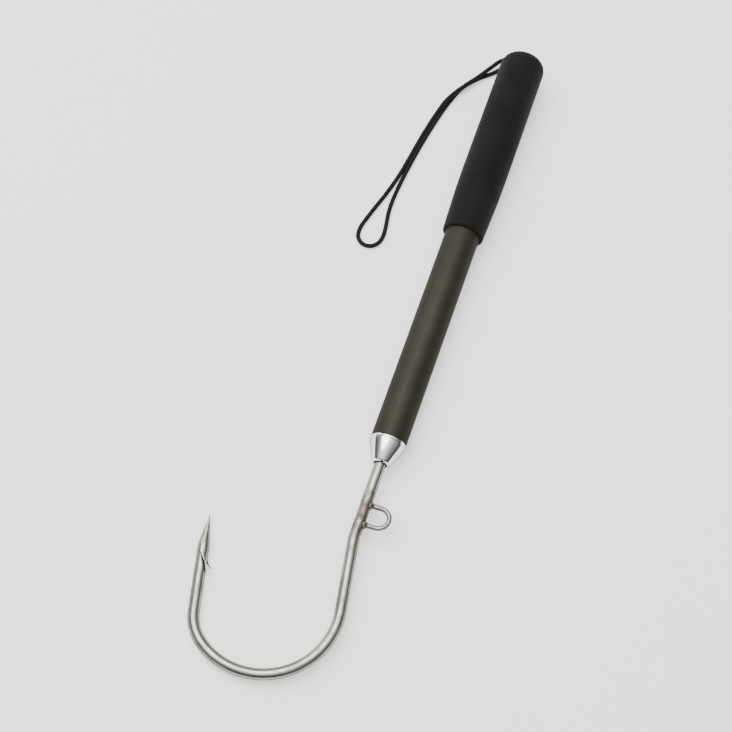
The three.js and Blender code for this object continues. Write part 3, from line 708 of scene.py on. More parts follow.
def weld_finish():
    """A weld bead: browned, dull and a little pitted."""
    material, tree, skin, place = finish_of("Weld Bead", Metallic=1.0, Roughness=0.42)
    tints = [(0.3, (0.1, 0.088, 0.066)), (0.5, (0.18, 0.165, 0.135)), (0.72, (0.29, 0.278, 0.25))]
    handled_skin(tree, skin, place, (520.0, 2400.0), tints, [(0.3, 0.55), (0.7, 0.32)], (0.16 * MM, 0.7),
                 flecks=(0.06, 0.05, 0.04))
    return material


def turned_steel_finish():
    """Turned stainless of the pins, the washer and the nut."""
    material, tree, skin, place = finish_of("Turned Stainless", Metallic=1.0, Roughness=0.28)
    handled_skin(tree, skin, place, (420.0, 2000.0), [(0.35, (0.42, 0.42, 0.4)), (0.7, (0.58, 0.57, 0.55))],
                 [(0.3, 0.36), (0.7, 0.22)], (0.03 * MM, 0.5))
    return material


def plastic_finish(name, colour, roughness):
    """Turned engineering plastic, a little paler in places."""
    material, tree, skin, place = finish_of(name, Roughness=roughness, Specular_IOR_Level=0.5)
    pale = tuple(min(1, c * 1.3) for c in colour)
    handled_skin(tree, skin, along_shaft(tree, place), (240.0, 1800.0), [(0.35, colour), (0.75, pale)],
                 [(0.3, roughness + 0.1), (0.7, roughness - 0.05)], (0.03 * MM, 0.4))
    return material


def cord_finish(colour):
    """Braided black polyester: painted shade between the strands, and a painted highlight with a soft shine
    on top of them.
    """
    material, tree, skin, place = finish_of("Braided Cord", Roughness=0.62, Specular_IOR_Level=0.2,
                                            Sheen_Weight=0.04, Sheen_Roughness=0.4)
    relief = add(tree, "ShaderNodeAttribute", attribute_name="relief").outputs["Fac"]
    fuzz = add(tree, "ShaderNodeTexNoise", Scale=5200.0, Detail=2.0)
    wire(tree, (place, fuzz.inputs["Vector"]))
    # Painted shade in the grooves between the strands.
    painted_groove_shade = tuple(c * 0.35 for c in colour)
    # Painted highlight on the crowns of the strands.
    bright = tuple(min(1, c * 1.9) for c in colour)
    tint = ramp(tree, relief, [(0.3, painted_groove_shade), (0.7, colour), (1.0, bright)])
    rough = ramp(tree, fuzz.outputs["Fac"], [(0.3, 0.62), (0.7, 0.82)])
    coat(tree, skin, tint, rough, fuzz.outputs["Fac"], 0.05 * MM, 0.5)
    return material


def floor_finish(colour):
    """Plain pale acrylic, with a little light of its own."""
    material, tree, skin, place = finish_of("Pale Floor", Roughness=0.9, Specular_IOR_Level=0.1,
                                            Emission_Color=(1, 1, 1), Emission_Strength=0.7)
    grain = add(tree, "ShaderNodeTexNoise", Scale=30.0, Detail=3.0)
    wire(tree, (place, grain.inputs["Vector"]))
    shade = tuple(c * 0.99 for c in colour)
    tint = ramp(tree, grain.outputs["Fac"], [(0.3, shade), (0.7, tuple(colour))])
    wire(tree, (tint, skin.inputs["Base Color"]))
    return material


# The lanyard

def through_points(points, per_span):
    """A centripetal curve through points, as the CAD cord follows it."""
    points = np.asarray(points, float)
    share = np.arange(per_span)[:, None] / per_span
    runs = []
    for i in range(len(points) - 1):
        here, there = points[i], points[i + 1]
        before = points[i - 1] if i else 2 * here - there
        after = points[i + 2] if i + 2 < len(points) else 2 * there - here
        gaps = [np.linalg.norm(b - a) ** 0.5 for a, b in ((before, here), (here, there), (there, after))]
        start = (here - before) / gaps[0] - (there - before) / (gaps[0] + gaps[1]) + (there - here) / gaps[1]
        stop = (there - here) / gaps[1] - (after - here) / (gaps[1] + gaps[2]) + (after - there) / gaps[2]
        start, stop = start * gaps[1], stop * gaps[1]
        runs.append(here + start * share + (3 * (there - here) - 2 * start - stop) * share ** 2
                    + (2 * (here - there) + start + stop) * share ** 3)
    return np.concatenate([*runs, points[-1:]])


def even_steps(line, step):
    """A line walked in even steps, with the distance walked."""
    walked = np.concatenate([[0], np.cumsum(np.linalg.norm(np.diff(line, axis=0), axis=1))])
    stops = np.linspace(0, walked[-1], max(2, int(round(walked[-1] / step)) + 1))
    return np.stack([np.interp(stops, walked, line[:, k]) for k in range(3)], 1), stops


def carried_frames(line):
    """Two directions square to a line at each point, carried along it without a twist."""
    ahead = np.gradient(line, axis=0)
    ahead /= np.linalg.norm(ahead, axis=1)[:, None]
    side = np.zeros_like(line)
    first = np.cross(ahead[0], (0, 0, 1.0))
    side[0] = first / np.linalg.norm(first)
    for i in range(1, len(line)):
        kept = side[i - 1] - ahead[i] * (side[i - 1] @ ahead[i])
        side[i] = kept / np.linalg.norm(kept)
    return side, np.cross(ahead, side)


def braid_height(around, along, carriers, pick):
    """Height from 0 to 1 of a tubular braid at an angle and a distance: strands that pass over and under."""
    turn = around / math.tau * carriers
    climb = along / (2 * pick)
    left, right = turn + climb, turn - climb
    over = (np.floor(left) + np.floor(right)) % 2 == 0
    round_left, round_right = (np.sqrt(np.clip(1 - (2 * (run % 1) - 1) ** 2, 0, 1)) for run in (left, right))
    dip = 0.45
    return np.where(over, round_left * (1 - dip + dip * round_right),
                    round_right * (1 - dip + dip * round_left))


def braided_tube(name, route, sizes, sides, step):
    """A tube of braid along a route, with its relief stored on it."""
    line, walked = even_steps(through_points(route, per_span=40), step)
    side, up = carried_frames(line)
    around = np.arange(sides) / sides * math.tau
    height = braid_height(around[None, :], walked[:, None], sizes.carriers, sizes.pick)
    height[0] = height[-1] = 0
    reach = sizes.radius - sizes.relief * (1 - height)
    points = line[:, None] + reach[..., None] * (
        np.cos(around)[None, :, None] * side[:, None] + np.sin(around)[None, :, None] * up[:, None])
    rings = len(line)
    faces = []
    for ring in range(rings - 1):
        low, high = ring * sides, (ring + 1) * sides
        faces += [(low + k, low + (k + 1) % sides, high + (k + 1) % sides, high + k) for k in range(sides)]
    faces.append(tuple(reversed(range(sides))))
    faces.append(tuple(range((rings - 1) * sides, rings * sides)))
    mesh = bpy.data.meshes.new(name)
    mesh.from_pydata(points.reshape(-1, 3).tolist(), [], faces)
    relief = mesh.attributes.new("relief", "FLOAT", "POINT")
    relief.data.foreach_set("value", height.ravel().astype(np.float32))
    piece = bpy.data.objects.new(name, mesh)
    bpy.context.scene.collection.objects.link(piece)
    open_mesh(piece)
    close_mesh(threshold=1e-8)
    smooth_over(piece, 60)
    return piece, line


class GAFF_OT_lanyard(bpy.types.Operator):
    """Braids the lanyard's cord along its route and wraps its stopper knot"""
    bl_idname = "gaff.lanyard"
    bl_label = "Lanyard"

    def execute(self, context):
        sizes = context.scene.gaff_lanyard
        finish = cord_finish(tuple(sizes.colour))
        route = np.array(LANYARD_ROUTE) * MM
        cord, line = braided_tube("lanyard", route, sizes, sides=40, step=0.36 * MM)
        hand_over(cord, "handle", "cord", finish, "lanyard_cord")
        low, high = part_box("lanyard_knot")
        middle, turns = (low + high) / 2, 3
        wrap = 1.05 * sizes.radius * 2
        span = high.y - low.y - 2 * sizes.radius
        share = np.linspace(0, 1, 12 * turns + 1)
        swing = share * turns * math.tau
        helix = np.stack([middle.x + wrap * np.cos(swing), low.y + sizes.radius + span * share,
                          middle.z + wrap * np.sin(swing)], 1)
        knot, _ = braided_tube("stopper_knot", helix, sizes, sides=32, step=MM / 2)
        hand_over(knot, "handle", "cord", finish, "lanyard_knot")
        return {"FINISHED"}


# The grip, the tubes and the ferrule

class GAFF_OT_grip(bpy.types.Operator):
    """Turns the foam grip with its rounded front edge, its swell and its domed butt"""
    bl_idname = "gaff.grip"
    bl_label = "Foam Grip"

    def execute(self, context):
        size = context.scene.gaff_grip
        steps = 5
        shares = [i / steps for i in range(1, steps + 1)]
        taper = [(size.front_radius + (size.swell_radius - size.front_radius) * share,
                  size.front + size.swell_at * share) for share in shares]
        belly = 0.26
        growth, run = size.full_radius - size.swell_radius, size.full_at - size.swell_at
        swell = [(size.swell_radius + growth * share * (1 + belly * (1 - share)),
                  size.front + size.swell_at + run * share) for share in shares]
        edge, dome, lip = size.front_edge, size.dome_radius, size.hole_round
        profile = [
            *rounded(size.front_radius - edge, size.front + edge, edge, -90, 0, 8), *taper, *swell,
            *rounded(size.butt_radius - dome, size.end - dome, dome, 0, 90, 14),
            *rounded(size.hole + lip, size.end - lip, lip, 90, 180, 8),
            (size.hole, size.bore_end), (size.bore, size.bore_end), (size.bore, size.front),
        ]
        grip = turn_on_lathe("foam_grip", profile, size.segments, smooth=50)
        set_down(grip, SHAFT)
        hand_over(grip, "handle", "grip_foam", foam_finish(tuple(size.colour)), "grip_sleeve")
        return {"FINISHED"}


class GAFF_OT_tubes(bpy.types.Operator):
    """Draws the outer, middle and inner tubes and drills their pin holes"""
    bl_idname = "gaff.tubes"
    bl_label = "Drawn Tubes"

    def execute(self, context):
        size = context.scene.gaff_tubes
        ferrule = context.scene.gaff_ferrule
        bare = bare_tube_finish()
        rows = (
            ("outer_shaft", size.outer_radius, size.outer_wall, size.outer_end, (), "handle", "outer_tube"),
            ("middle_stage", size.middle_radius, size.inner_wall, size.middle_end,
             ((size.middle_pin, size.middle_hole),), "middle_section", "middle_tube"),
            ("inner_stage", size.inner_radius, size.inner_wall, size.inner_end,
             ((size.inner_pin, size.inner_hole), (ferrule.pin_at, ferrule.pin_radius)), "hook_section",
             "inner_tube"),
        )
        for name, radius, wall, end, holes, body, node in rows:
            bore = radius - wall
            profile = [(radius, size.front), (radius, end), (bore, end), (bore, size.front)]
            tube = turn_on_lathe(name, profile, size.segments, size.edge_break)
            for station, hole in holes:
                cross_drill(tube, hole, radius, station)
            smooth_over(tube, 30)
            set_down(tube, SHAFT)
            outer = node == "outer_tube"
            hand_over(tube, body, "anodised_tube" if outer else "bare_tube",
                      anodised_finish() if outer else bare, node)
        return {"FINISHED"}


class GAFF_OT_bushes(bpy.types.Operator):
    """Turns the guide bushes of the outer and the middle tube, and gives the plugs the same nylon"""
    bl_idname = "gaff.bushes"
    bl_label = "Guide Bushes"

    def execute(self, context):
        size = context.scene.gaff_tubes
        nylon = plastic_finish("Black Nylon", (0.015, 0.015, 0.0155), 0.42)
        rows = (
            ("outer_bush", size.outer_radius - size.outer_wall, size.middle_radius, size.outer_bush, "handle",
             "outer_guide_bush"),
            ("middle_bush", size.middle_radius - size.inner_wall, size.inner_radius, size.middle_bush,
             "middle_section", "middle_guide_bush"),
        )
        for name, bore, sliding, long, body, node in rows:
            inner, outer = sliding + size.running_gap, bore - size.running_gap
            back = size.bush_front + long
            bush = turn_on_lathe(name, [(outer, size.bush_front), (outer, back), (inner, back),
                                        (inner, size.bush_front)], size.segments, size.edge_break)
            set_down(bush, SHAFT)
            hand_over(bush, body, "nylon", nylon, node)
        refinish(("butt_plug", "middle_rear_plug", "inner_rear_plug"), nylon)
        return {"FINISHED"}


class GAFF_OT_fittings(bpy.types.Operator):
    """Finishes the drag rings, cross pins, washer and nut inside the shaft"""
    bl_idname = "gaff.fittings"
    bl_label = "Inner Fittings"

    def execute(self, context):
        acetal = plastic_finish("White Acetal", (0.72, 0.71, 0.68), 0.34)
        refinish(("middle_drag_ring", "inner_drag_ring"), acetal)
        small = ("middle_plug_pin", "inner_plug_pin", "ferrule_pin", "hook_washer", "hook_nut")
        refinish(small, turned_steel_finish())
        return {"FINISHED"}


class GAFF_OT_ferrule(bpy.types.Operator):
    """Turns the ferrule: lip, collar, cone, bevelled nose and spigot"""
    bl_idname = "gaff.ferrule"
    bl_label = "Ferrule"

    def execute(self, context):
        size = context.scene.gaff_ferrule
        collar_radius = size.radius - size.lip_step
        crown = 0.35
        crown_radius = size.nose_radius + (size.face_radius - size.nose_radius) * crown
        rim = size.face_radius - MM / 5
        profile = [
            (size.spigot_radius, 0), (size.spigot_radius, size.spigot - size.spigot_chamfer),
            (size.spigot_radius - size.spigot_chamfer, size.spigot), (size.tail_bore, size.spigot),
            (size.tail_bore, size.bore_depth), (size.bore, size.bore_depth),
            (size.bore, size.recess - size.reach), (rim, size.recess - size.reach), (rim, -size.reach),
            (size.face_radius, -size.reach), (crown_radius, size.nose_bevel * crown - size.reach),
            (size.nose_radius, size.nose_bevel - size.reach), (collar_radius, -size.collar),
            (collar_radius, -size.lip - size.lip_step), (size.radius, -size.lip), (size.radius, 0),
        ]
        ferrule = turn_on_lathe("ferrule_body", profile, size.segments, size.edge_break, smooth=24)
        cross_drill(ferrule, size.pin_radius, size.spigot_radius, size.pin_at)
        smooth_over(ferrule, 24)
        set_down(ferrule, SHAFT)
        hand_over(ferrule, "hook_section", "polished_ferrule", polished_finish(tuple(size.colour)), "ferrule")
        return {"FINISHED"}


# The hook

def bar_runs(size):
    """The hook's runs after the shoulder: straight lengths, and arcs of radius and turn, left positive."""
    return [
        ("straight", size.shoulder + size.shank, 0), ("arc", size.kink_radius, size.kink_turn),
        ("straight", size.limb, 0), ("arc", size.bend_radius, -size.bend_turn),
        ("arc", size.throat_radius, -size.throat_turn),
        ("straight", size.point_limb - size.bar_radius, 0), ("straight", size.bar_radius, 0),
    ]


def walk_bar(size):
    """Where each run starts and ends: (place, heading, distance walked), with each arc's centre."""
    place, heading, walked = Vector((0, size.shoulder, 0)), -math.pi / 2, 0.0
    marks = [(place.copy(), heading, walked, None)]
    for kind, reach, turn in bar_runs(size):
        centre = None
        if kind == "straight":
            place = place + reach * Vector((math.cos(heading), math.sin(heading), 0))
            walked += reach
        else:
            side = heading + math.copysign(math.pi / 2, turn)
            centre = place + reach * Vector((math.cos(side), math.sin(side), 0))
            place = centre + Matrix.Rotation(turn, 3, "Z") @ (place - centre)
            heading += turn
            walked += reach * abs(turn)
        marks.append((place.copy(), heading, walked, centre))
    return marks


def bend_end(centre, turn, degrees_per_step):
    """Bends the selected end loop round a centre in the hook's plane, to the left for a positive turn."""
    steps = max(2, round(math.degrees(abs(turn)) / degrees_per_step))
    bpy.ops.mesh.spin(steps=steps, angle=-turn, center=centre, axis=(0, 0, 1))


def unbent_places(points, size):
    """Each point's place on the bar as if it had never been bent: X and Z across, Y along the shaft."""
    marks = walk_bar(size)
    spare = 30 * MM
    stops, heads, walked = [marks[0][0] + Vector((0, spare, 0))], [-math.pi / 2], [-spare]
    for before, after in zip(marks, marks[1:]):
        centre = after[3]
        steps = 1 if centre is None else 40
        for i in range(1, steps + 1):
            turn = (after[1] - before[1]) * i / steps
            stops.append(after[0] if centre is None else
                         centre + Matrix.Rotation(turn, 3, "Z") @ (before[0] - centre))
            heads.append(before[1] + turn)
            walked.append(before[2] + (after[2] - before[2]) * i / steps)
    end, ahead, _ = point_frame(size)
    stops.append(end + spare * ahead)
    heads.append(marks[-1][1])
    walked.append(marks[-1][2] + spare)
    stops, heads, walked = np.array(stops), np.array(heads), np.array(walked)
    flat = points[:, :2]
    best = np.full(len(points), np.inf)
    across, along = np.zeros(len(points)), np.zeros(len(points))
    for i in range(len(stops) - 1):
        start, run = stops[i, :2], stops[i + 1, :2] - stops[i, :2]
        share = np.clip((flat - start) @ run / max(run @ run, 1e-18), 0, 1)
        off = flat - start - share[:, None] * run
        gap = np.linalg.norm(off, axis=1)
        head = heads[i] + (heads[i + 1] - heads[i]) * share
        nearer = gap < best
        best[nearer] = gap[nearer]
        across[nearer] = (off[:, 1] * np.cos(head) - off[:, 0] * np.sin(head))[nearer]
        along[nearer] = (walked[i] + (walked[i + 1] - walked[i]) * share)[nearer]
    return np.stack([across, size.shoulder - along, points[:, 2]], 1)


def point_frame(size):
    """Where the point starts, the way that it points and the way towards the gape."""
    start, heading = walk_bar(size)[-1][:2]
    ahead = Vector((math.cos(heading), math.sin(heading), 0))
    return start, ahead, Vector((ahead.y, -ahead.x, 0))


def barb_place(size):
    """The barb's own frame: X the way that the point points, Y the way that the barb stands out."""
    start, ahead, inward = point_frame(size)
    return Matrix((
        (ahead.x, inward.x, 0, start.x), (ahead.y, inward.y, 0, start.y), (0, 0, 1, 0), (0, 0, 0, 1),
    )) @ Matrix.Rotation(size.barb_tilt, 4, "X")


def grind_point(bar, size):
    """Grinds eight flats that meet at the tip, on the last run of the bar, then leaves edit mode."""
    start, ahead, inward = point_frame(size)
    bite = 0.06 * MM
    flats = 8
    for k in range(flats):
        turn = k * math.tau / flats
        way = math.cos(turn) * inward + math.sin(turn) * Vector((0, 0, 1))
        slope = (size.bar_radius - size.tip_radius - size.tip_lean * way.dot(inward)) / size.point
        bpy.ops.object.mode_set(mode="OBJECT")
        from_start = mesh_points(bar) - np.array(start)
        bpy.ops.object.mode_set(mode="EDIT")
        mark(bar, (from_start @ np.array(ahead) > -1.5 * size.bar_radius)
             & (abs(from_start @ np.array(inward)) < 2 * size.bar_radius))
        bpy.ops.mesh.bisect(plane_co=start + (size.bar_radius - bite) * way, plane_no=way + slope * ahead,
                            use_fill=True, clear_outer=True)
    close_mesh()


def half_chord(radius, thick):
    """Half the width of a cap of this thickness on a round bar, which grows up to the bar's middle."""
    return math.sqrt(max(thick * (2 * radius - thick), 1e-12))


def sliver(size):
    """The barb: a cap of the bar's round section, drawn back, thinned and curled away from the bar."""
    sunk = 0.8 * MM
    piece = start_bar("barb_sliver", 96, size.bar_radius, (sunk - size.kerf_root, 0, 0), (0, math.pi / 2, 0))
    bpy.ops.mesh.bisect(plane_co=(0, size.bar_radius - size.kerf_depth, 0), plane_no=(0, 1, 0),
                        clear_inner=True)
    bpy.ops.mesh.select_all(action="SELECT")
    draw_out((-sunk, 0, 0))
    reach, climb = size.barb_reach - size.kerf_root, size.barb_rise - size.bar_radius
    top, thick = size.bar_radius, size.kerf_depth
    steps, curl = 26, 2.6
    for i in range(1, steps + 1):
        share = i / steps
        new_top = size.bar_radius + climb * share ** curl
        new_thick = max(size.kerf_depth * (1 - share), size.barb_tip)
        width = 1.0
        if thick < size.bar_radius:
            width = half_chord(size.bar_radius, new_thick) / half_chord(size.bar_radius, thick)
        draw_out((-reach / steps, new_top - top, 0), (-size.kerf_root - reach * share, new_top, 0),
                 (1, new_thick / thick, width))
        top, thick = new_top, new_thick
    close_mesh()
    set_down(piece, barb_place(size))
    return piece


def kerf_cutter(size):
    """The wedge that the saw takes out."""
    over = size.bar_radius + OVERRUN
    floor = size.kerf_root + size.kerf_length / size.kerf_depth * (size.kerf_depth + OVERRUN)
    cutter = outline("kerf", [
        (-size.kerf_root, size.bar_radius - size.kerf_depth, -over), (-floor, over, -over),
        (-size.kerf_root, over, -over)])
    bpy.ops.mesh.select_all(action="SELECT")
    bpy.ops.mesh.edge_face_add()
    draw_out((0, 0, 2 * over))
    close_mesh()
    set_down(cutter, barb_place(size))
    return cutter


def kerf_floor(size):
    """The kerf's root and the square direction of its floor, in the barb's frame."""
    return (Vector((-size.kerf_root, size.bar_radius - size.kerf_depth, 0)),
            Vector((size.kerf_depth, size.kerf_length, 0)).normalized())


def tip_level(size):
    """How far from the bar's axis the barb's dark tip begins."""
    return size.bar_radius + MM / 2


def score_kerf(bar, size):
    """Cuts the edges of the dark strip beside the kerf, partly saw-blackened steel and partly painted shade,
    and of the barb's dark tip, into the bar's skin.
    """
    root, square = kerf_floor(size)
    place = barb_place(size)
    turn = place.to_3x3()
    around_kerf = (45 * MM, 2.2 * size.bar_radius, 2 * size.bar_radius)
    for spot, way in (
        (root - size.burn_and_shade * square, square),
        (root + Vector((size.burn_and_shade / 2, 0, 0)), Vector((1, 0, 0))),
        (Vector((0, tip_level(size), 0)), Vector((0, 1, 0))),
    ):
        points = mesh_points(bar) @ np.array(turn) + np.array(place.inverted().translation)
        mark(bar, (abs(points + (size.kerf_root, 0, 0)) < around_kerf).all(axis=1))
        bpy.ops.mesh.bisect(plane_co=place @ spot, plane_no=turn @ way)
        bpy.ops.object.mode_set(mode="OBJECT")
        open_mesh(bar)


def takes_sawn_and_shaded_finish(face, size):
    """Whether a face lies on the kerf's floor, on the strip beside it, or under or at the end of the barb,
    and so takes the dark finish, which paints the shade of the kerf's gap as well as the saw's blackening.
    """
    back = barb_place(size).inverted()
    place, normal = back @ face.center, back.to_3x3() @ face.normal
    root, square = kerf_floor(size)
    behind = 20 * MM
    if abs(place.z) > 1.1 * size.bar_radius or not -behind < place.x < size.burn_and_shade / 2 - size.kerf_root:
        return False
    if normal.y < -0.5 or place.y > tip_level(size):
        return place.y > root.y - MM / 5
    return -size.burn_and_shade < (place - root).dot(square) < MM / 20 and place.y < size.bar_radius


class GAFF_OT_hook(bpy.types.Operator):
    """Bends the bar, grinds its point, saws the kerf and curls the barb out of it"""
    bl_idname = "gaff.hook"
    bl_label = "Barbed Hook"

    def execute(self, context):
        size = context.scene.gaff_hook
        eye = context.scene.gaff_eye
        ferrule = context.scene.gaff_ferrule
        chamfer = size.tail_chamfer
        tail_end = size.shoulder + size.tail
        bar = start_bar("hook_bar", size.sides, size.tail_radius - chamfer, (0, tail_end, 0),
                        (math.pi / 2, 0, 0))
        wide = size.tail_radius / (size.tail_radius - chamfer)
        draw_out((0, -chamfer, 0), (0, tail_end - chamfer, 0), (wide, 1, wide))
        draw_out((0, chamfer - size.tail, 0))
        full = size.bar_radius / size.tail_radius
        draw_out((0, 0, 0), (0, size.shoulder, 0), (full, 1, full))
        marks = walk_bar(size)
        for before, after, (kind, _, turn) in zip(marks, marks[1:], bar_runs(size)):
            if kind == "straight":
                draw_out(after[0] - before[0])
            else:
                bend_end(after[3], turn, degrees_per_step=2)
        draw_out((size.point + 2 * OVERRUN) * point_frame(size)[1])
        grind_point(bar, size)
        cross_drill(bar, ferrule.pin_radius, size.bar_radius, ferrule.pin_at)
        cut_with(bar, kerf_cutter(size))
        cut_with(bar, sliver(size), "UNION")
        open_mesh(bar)
        score_kerf(bar, size)
        close_mesh(threshold=2e-6)
        keep_unbent(bar, unbent_places(mesh_points(bar), size))
        smooth_over(bar, 24)
        # These faces take the dark finish: partly saw-blackened steel, partly painted shade of the kerf's gap
        # and under the barb.
        sawn = [takes_sawn_and_shaded_finish(face, size) for face in bar.data.polygons]
        set_down(bar, SHAFT)
        feet = [eye.station + eye.loop_radius, eye.station - eye.loop_radius]
        hand_over(bar, "hook_section", "stainless",
                  steel_finish("Stainless Bar", tuple(size.colour), 0.26, feet), "hook")
        # The second material paints the kerf's shade as well as the saw's blackening.
        bar.data.materials.append(sawn_and_shaded_finish())
        bar.data.polygons.foreach_set("material_index", sawn)
        return {"FINISHED"}


# The line eye and its welds

class GAFF_OT_line_eye(bpy.types.Operator):
    """Bends the line eye's wire into a U"""
    bl_idname = "gaff.line_eye"
    bl_label = "Line Eye"

    def execute(self, context):
        size = context.scene.gaff_eye
        hook = context.scene.gaff_hook
        foot, upper = hook.bar_radius - size.sink, size.station + size.loop_radius
        wire_piece = start_bar("line_eye_wire", 32, size.wire_radius, (foot, upper, 0), (0, math.pi / 2, 0))
        draw_out((size.reach - foot, 0, 0))
        bend_end((size.reach, size.station, 0), -math.pi, degrees_per_step=5)
        draw_out((foot - size.reach, 0, 0))
        close_mesh()
        x, y, z = mesh_points(wire_piece).T
        past, beside = x - size.reach, y - size.station
        walk = 40 * MM
        along = np.where(past < 0, np.where(beside > 0, x, walk - x),
                         size.reach + np.arctan2(past, beside) * size.loop_radius)
        out = np.where(past < 0, np.abs(beside), np.hypot(past, beside)) - size.loop_radius
        keep_unbent(wire_piece, np.stack([out, along, z], 1))
        smooth_over(wire_piece, 40)
        set_down(wire_piece, SHAFT)
        bright = tuple(min(1, c * 1.08) for c in hook.colour)
        finish = steel_finish("Stainless Wire", bright, 0.34, (4 * MM,))
        hand_over(wire_piece, "hook_section", "stainless", finish, "line_eye")
        return {"FINISHED"}


class GAFF_OT_welds(bpy.types.Operator):
    """Lays a rippled bead round each foot of the line eye"""
    bl_idname = "gaff.welds"
    bl_label = "Weld Beads"

    def execute(self, context):
        size = context.scene.gaff_eye
        hook = context.scene.gaff_hook
        finish = weld_finish()
        ripple = bpy.data.textures.new("Bead Ripple", "CLOUDS")
        ripple.noise_scale = size.ripple
        ripple.noise_depth = 2
        low = hook.bar_radius - size.weld_sink
        width, height = size.weld_radius - size.wire_radius, size.weld_height + size.weld_sink
        profile = [(size.wire_radius + width * out, low + height * rise) for out, rise in BEAD_OUTLINE]
        for name, side in (("eye_weld_upper", 1), ("eye_weld_lower", -1)):
            bead = turn_on_lathe(name + "_bead", profile, segments=72, smooth=60)
            use_modifier(bead, "SUBSURF", levels=1, render_levels=1)
            use_modifier(bead, "DISPLACE", texture=ripple, strength=size.ripple_depth, mid_level=0.5,
                         texture_coords="LOCAL")
            smooth_over(bead, 60)
            station = size.station + side * size.loop_radius
            turn = Matrix.Rotation(-math.pi / 2, 4, "Z")
            set_down(bead, SHAFT @ Matrix.Translation((0, station, 0)) @ turn)
            hand_over(bead, "hook_section", "weld_bead", finish, name)
        return {"FINISHED"}


# The stage

def hang_softbox(scene, name, place, size, power):
    """A round area light that faces the middle of the floor."""
    light = bpy.data.lights.new(name, "AREA")
    light.shape = "DISK"
    light.size = size
    light.energy = power
    lamp = bpy.data.objects.new(name, light)
    lamp.location = place
    lamp.rotation_euler = (-Vector(place)).to_track_quat("-Z", "Y").to_euler()
    scene.collection.objects.link(lamp)


def soft_surround(strength):
    """A world that is bright overhead, dims to the right and the front, and has a dark flag at the left."""
    world = bpy.data.worlds.new("Soft Surround")
    world.use_nodes = True
    tree = world.node_tree
    way = add(tree, "ShaderNodeSeparateXYZ")
    wire(tree, (tree.nodes.new("ShaderNodeTexCoord").outputs["Generated"], way.inputs[0]))
    sky = ramp(tree, way.outputs["Z"], [(0.0, 0.1), (0.3, 0.22), (0.7, 0.8), (0.9, 1.0)])
    right = ramp(tree, way.outputs["X"], [(0.05, 1.0), (0.35, 0.62), (0.65, 0.27)])
    left = ramp(tree, sum_up(tree, "MULTIPLY", way.outputs["X"], -1), [(0.66, 0.0), (0.76, 1.0)])
    depth = sum_up(tree, "ADD", sum_up(tree, "MULTIPLY", way.outputs["Y"], 0.5), 0.5)
    front = ramp(tree, depth, [(0.1, 0.06), (0.26, 0.6), (0.45, 0.8), (0.7, 1.0), (0.76, 0.85), (0.9, 0.4)])
    flag = sum_up(tree, "MULTIPLY", left, ramp(tree, depth, [(0.52, 1.0), (0.66, 0.0)]))
    shade = blend_colours(tree, 1.0, right, front, "MULTIPLY")
    shade = lay_over(tree, shade, flag, 0.64, (0.0, 0.0, 0.0))
    glow = tree.nodes["Background"].inputs
    wire(tree, (blend_colours(tree, 1.0, sky, shade, "MULTIPLY"), glow["Color"]))
    glow["Strength"].default_value = strength
    return world


def photograph_camera(scene):
    """The camera that sees the gaff as the photograph does."""
    view = bpy.data.cameras.new("Photograph View")
    view.lens = CAMERA_LENS
    view.sensor_width = 36
    view.shift_x = -CAMERA_SHIFT
    view.shift_y = CAMERA_SHIFT
    view.clip_start = 10 * MM
    camera = bpy.data.objects.new("photograph_camera", view)
    right, up = Vector(CAMERA_RIGHT), Vector(CAMERA_UP)
    turn = Matrix((right, up, right.cross(up))).transposed().to_4x4()
    camera.matrix_world = Matrix.Translation(CAMERA_PLACE) @ turn
    scene.collection.objects.link(camera)
    return camera


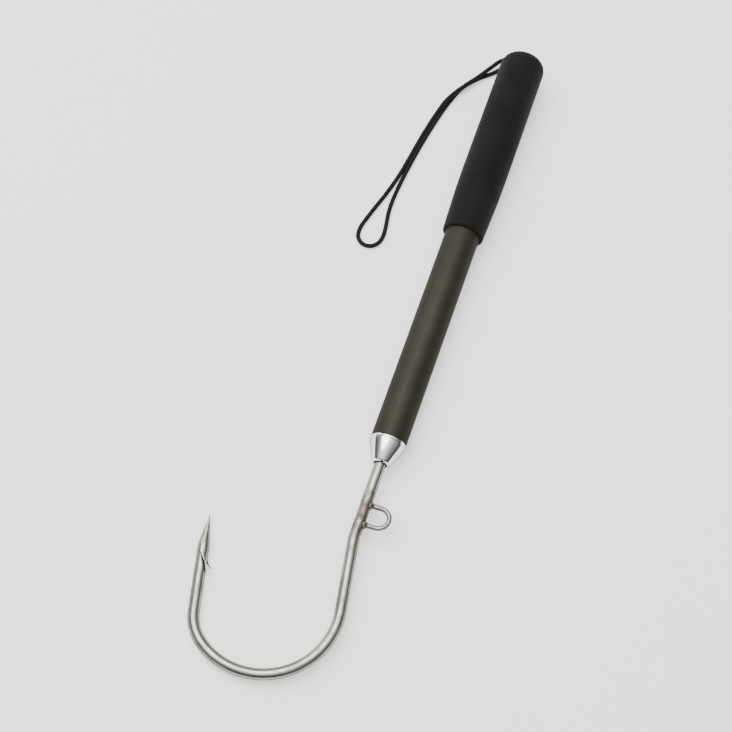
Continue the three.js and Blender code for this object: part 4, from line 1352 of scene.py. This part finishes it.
class GAFF_OT_stage(bpy.types.Operator):
    """Lays the pale floor and sets the soft lights and the camera"""
    bl_idname = "gaff.stage"
    bl_label = "Floor, Lights and Camera"

    def execute(self, context):
        scene = context.scene
        settings = scene.gaff_stage
        clear_bench()
        bpy.ops.mesh.primitive_plane_add(size=8)
        floor = bpy.context.active_object
        floor.name = "pale_floor"
        open_mesh(floor)
        bpy.ops.mesh.subdivide(number_cuts=3)
        bpy.ops.object.mode_set(mode="OBJECT")
        floor.data.materials.append(floor_finish(tuple(settings.floor_colour)))
        hang_softbox(scene, "main_softbox", place=(-0.48, 0.16, 1.5), size=1.5, power=settings.main)
        hang_softbox(scene, "low_softbox", place=(-1.5, 0.8, 0.5), size=0.8, power=settings.low)
        scene.world = soft_surround(settings.surround)
        scene.camera = photograph_camera(scene)
        return {"FINISHED"}


# The panel and the steps

class GAFF_PT_panel(bpy.types.Panel):
    """Lists the steps that build the gaff"""
    bl_idname = "GAFF_PT_panel"
    bl_label = "Telescopic Gaff"
    bl_space_type = "VIEW_3D"
    bl_region_type = "UI"
    bl_category = "Gaff"

    def draw(self, context):
        for step in STEPS:
            self.layout.operator(step.bl_idname)
        for name, group in SETTINGS:
            box = self.layout.box()
            box.label(text=group.__name__)
            for key in group.__annotations__:
                box.prop(getattr(context.scene, name), key)


STEPS = (
    GAFF_OT_stage, GAFF_OT_lanyard, GAFF_OT_grip, GAFF_OT_tubes, GAFF_OT_bushes, GAFF_OT_fittings,
    GAFF_OT_ferrule, GAFF_OT_hook, GAFF_OT_line_eye, GAFF_OT_welds,
)


def register():
    """Registers the sizes, the steps and the panel."""
    for name, group in SETTINGS:
        bpy.utils.register_class(group)
        setattr(bpy.types.Scene, name, PointerProperty(type=group))
    for step in STEPS:
        bpy.utils.register_class(step)
    bpy.utils.register_class(GAFF_PT_panel)


def unregister():
    """Takes them away again."""
    bpy.utils.unregister_class(GAFF_PT_panel)
    for step in reversed(STEPS):
        bpy.utils.unregister_class(step)
    for name, group in reversed(SETTINGS):
        delattr(bpy.types.Scene, name)
        bpy.utils.unregister_class(group)


def main():
    """Builds the gaff step by step."""
    register()
    for step in STEPS:
        family, task = step.bl_idname.split(".")
        getattr(getattr(bpy.ops, family), task)()
    clear_bench()
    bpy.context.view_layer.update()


if __name__ == "__main__":
    main()
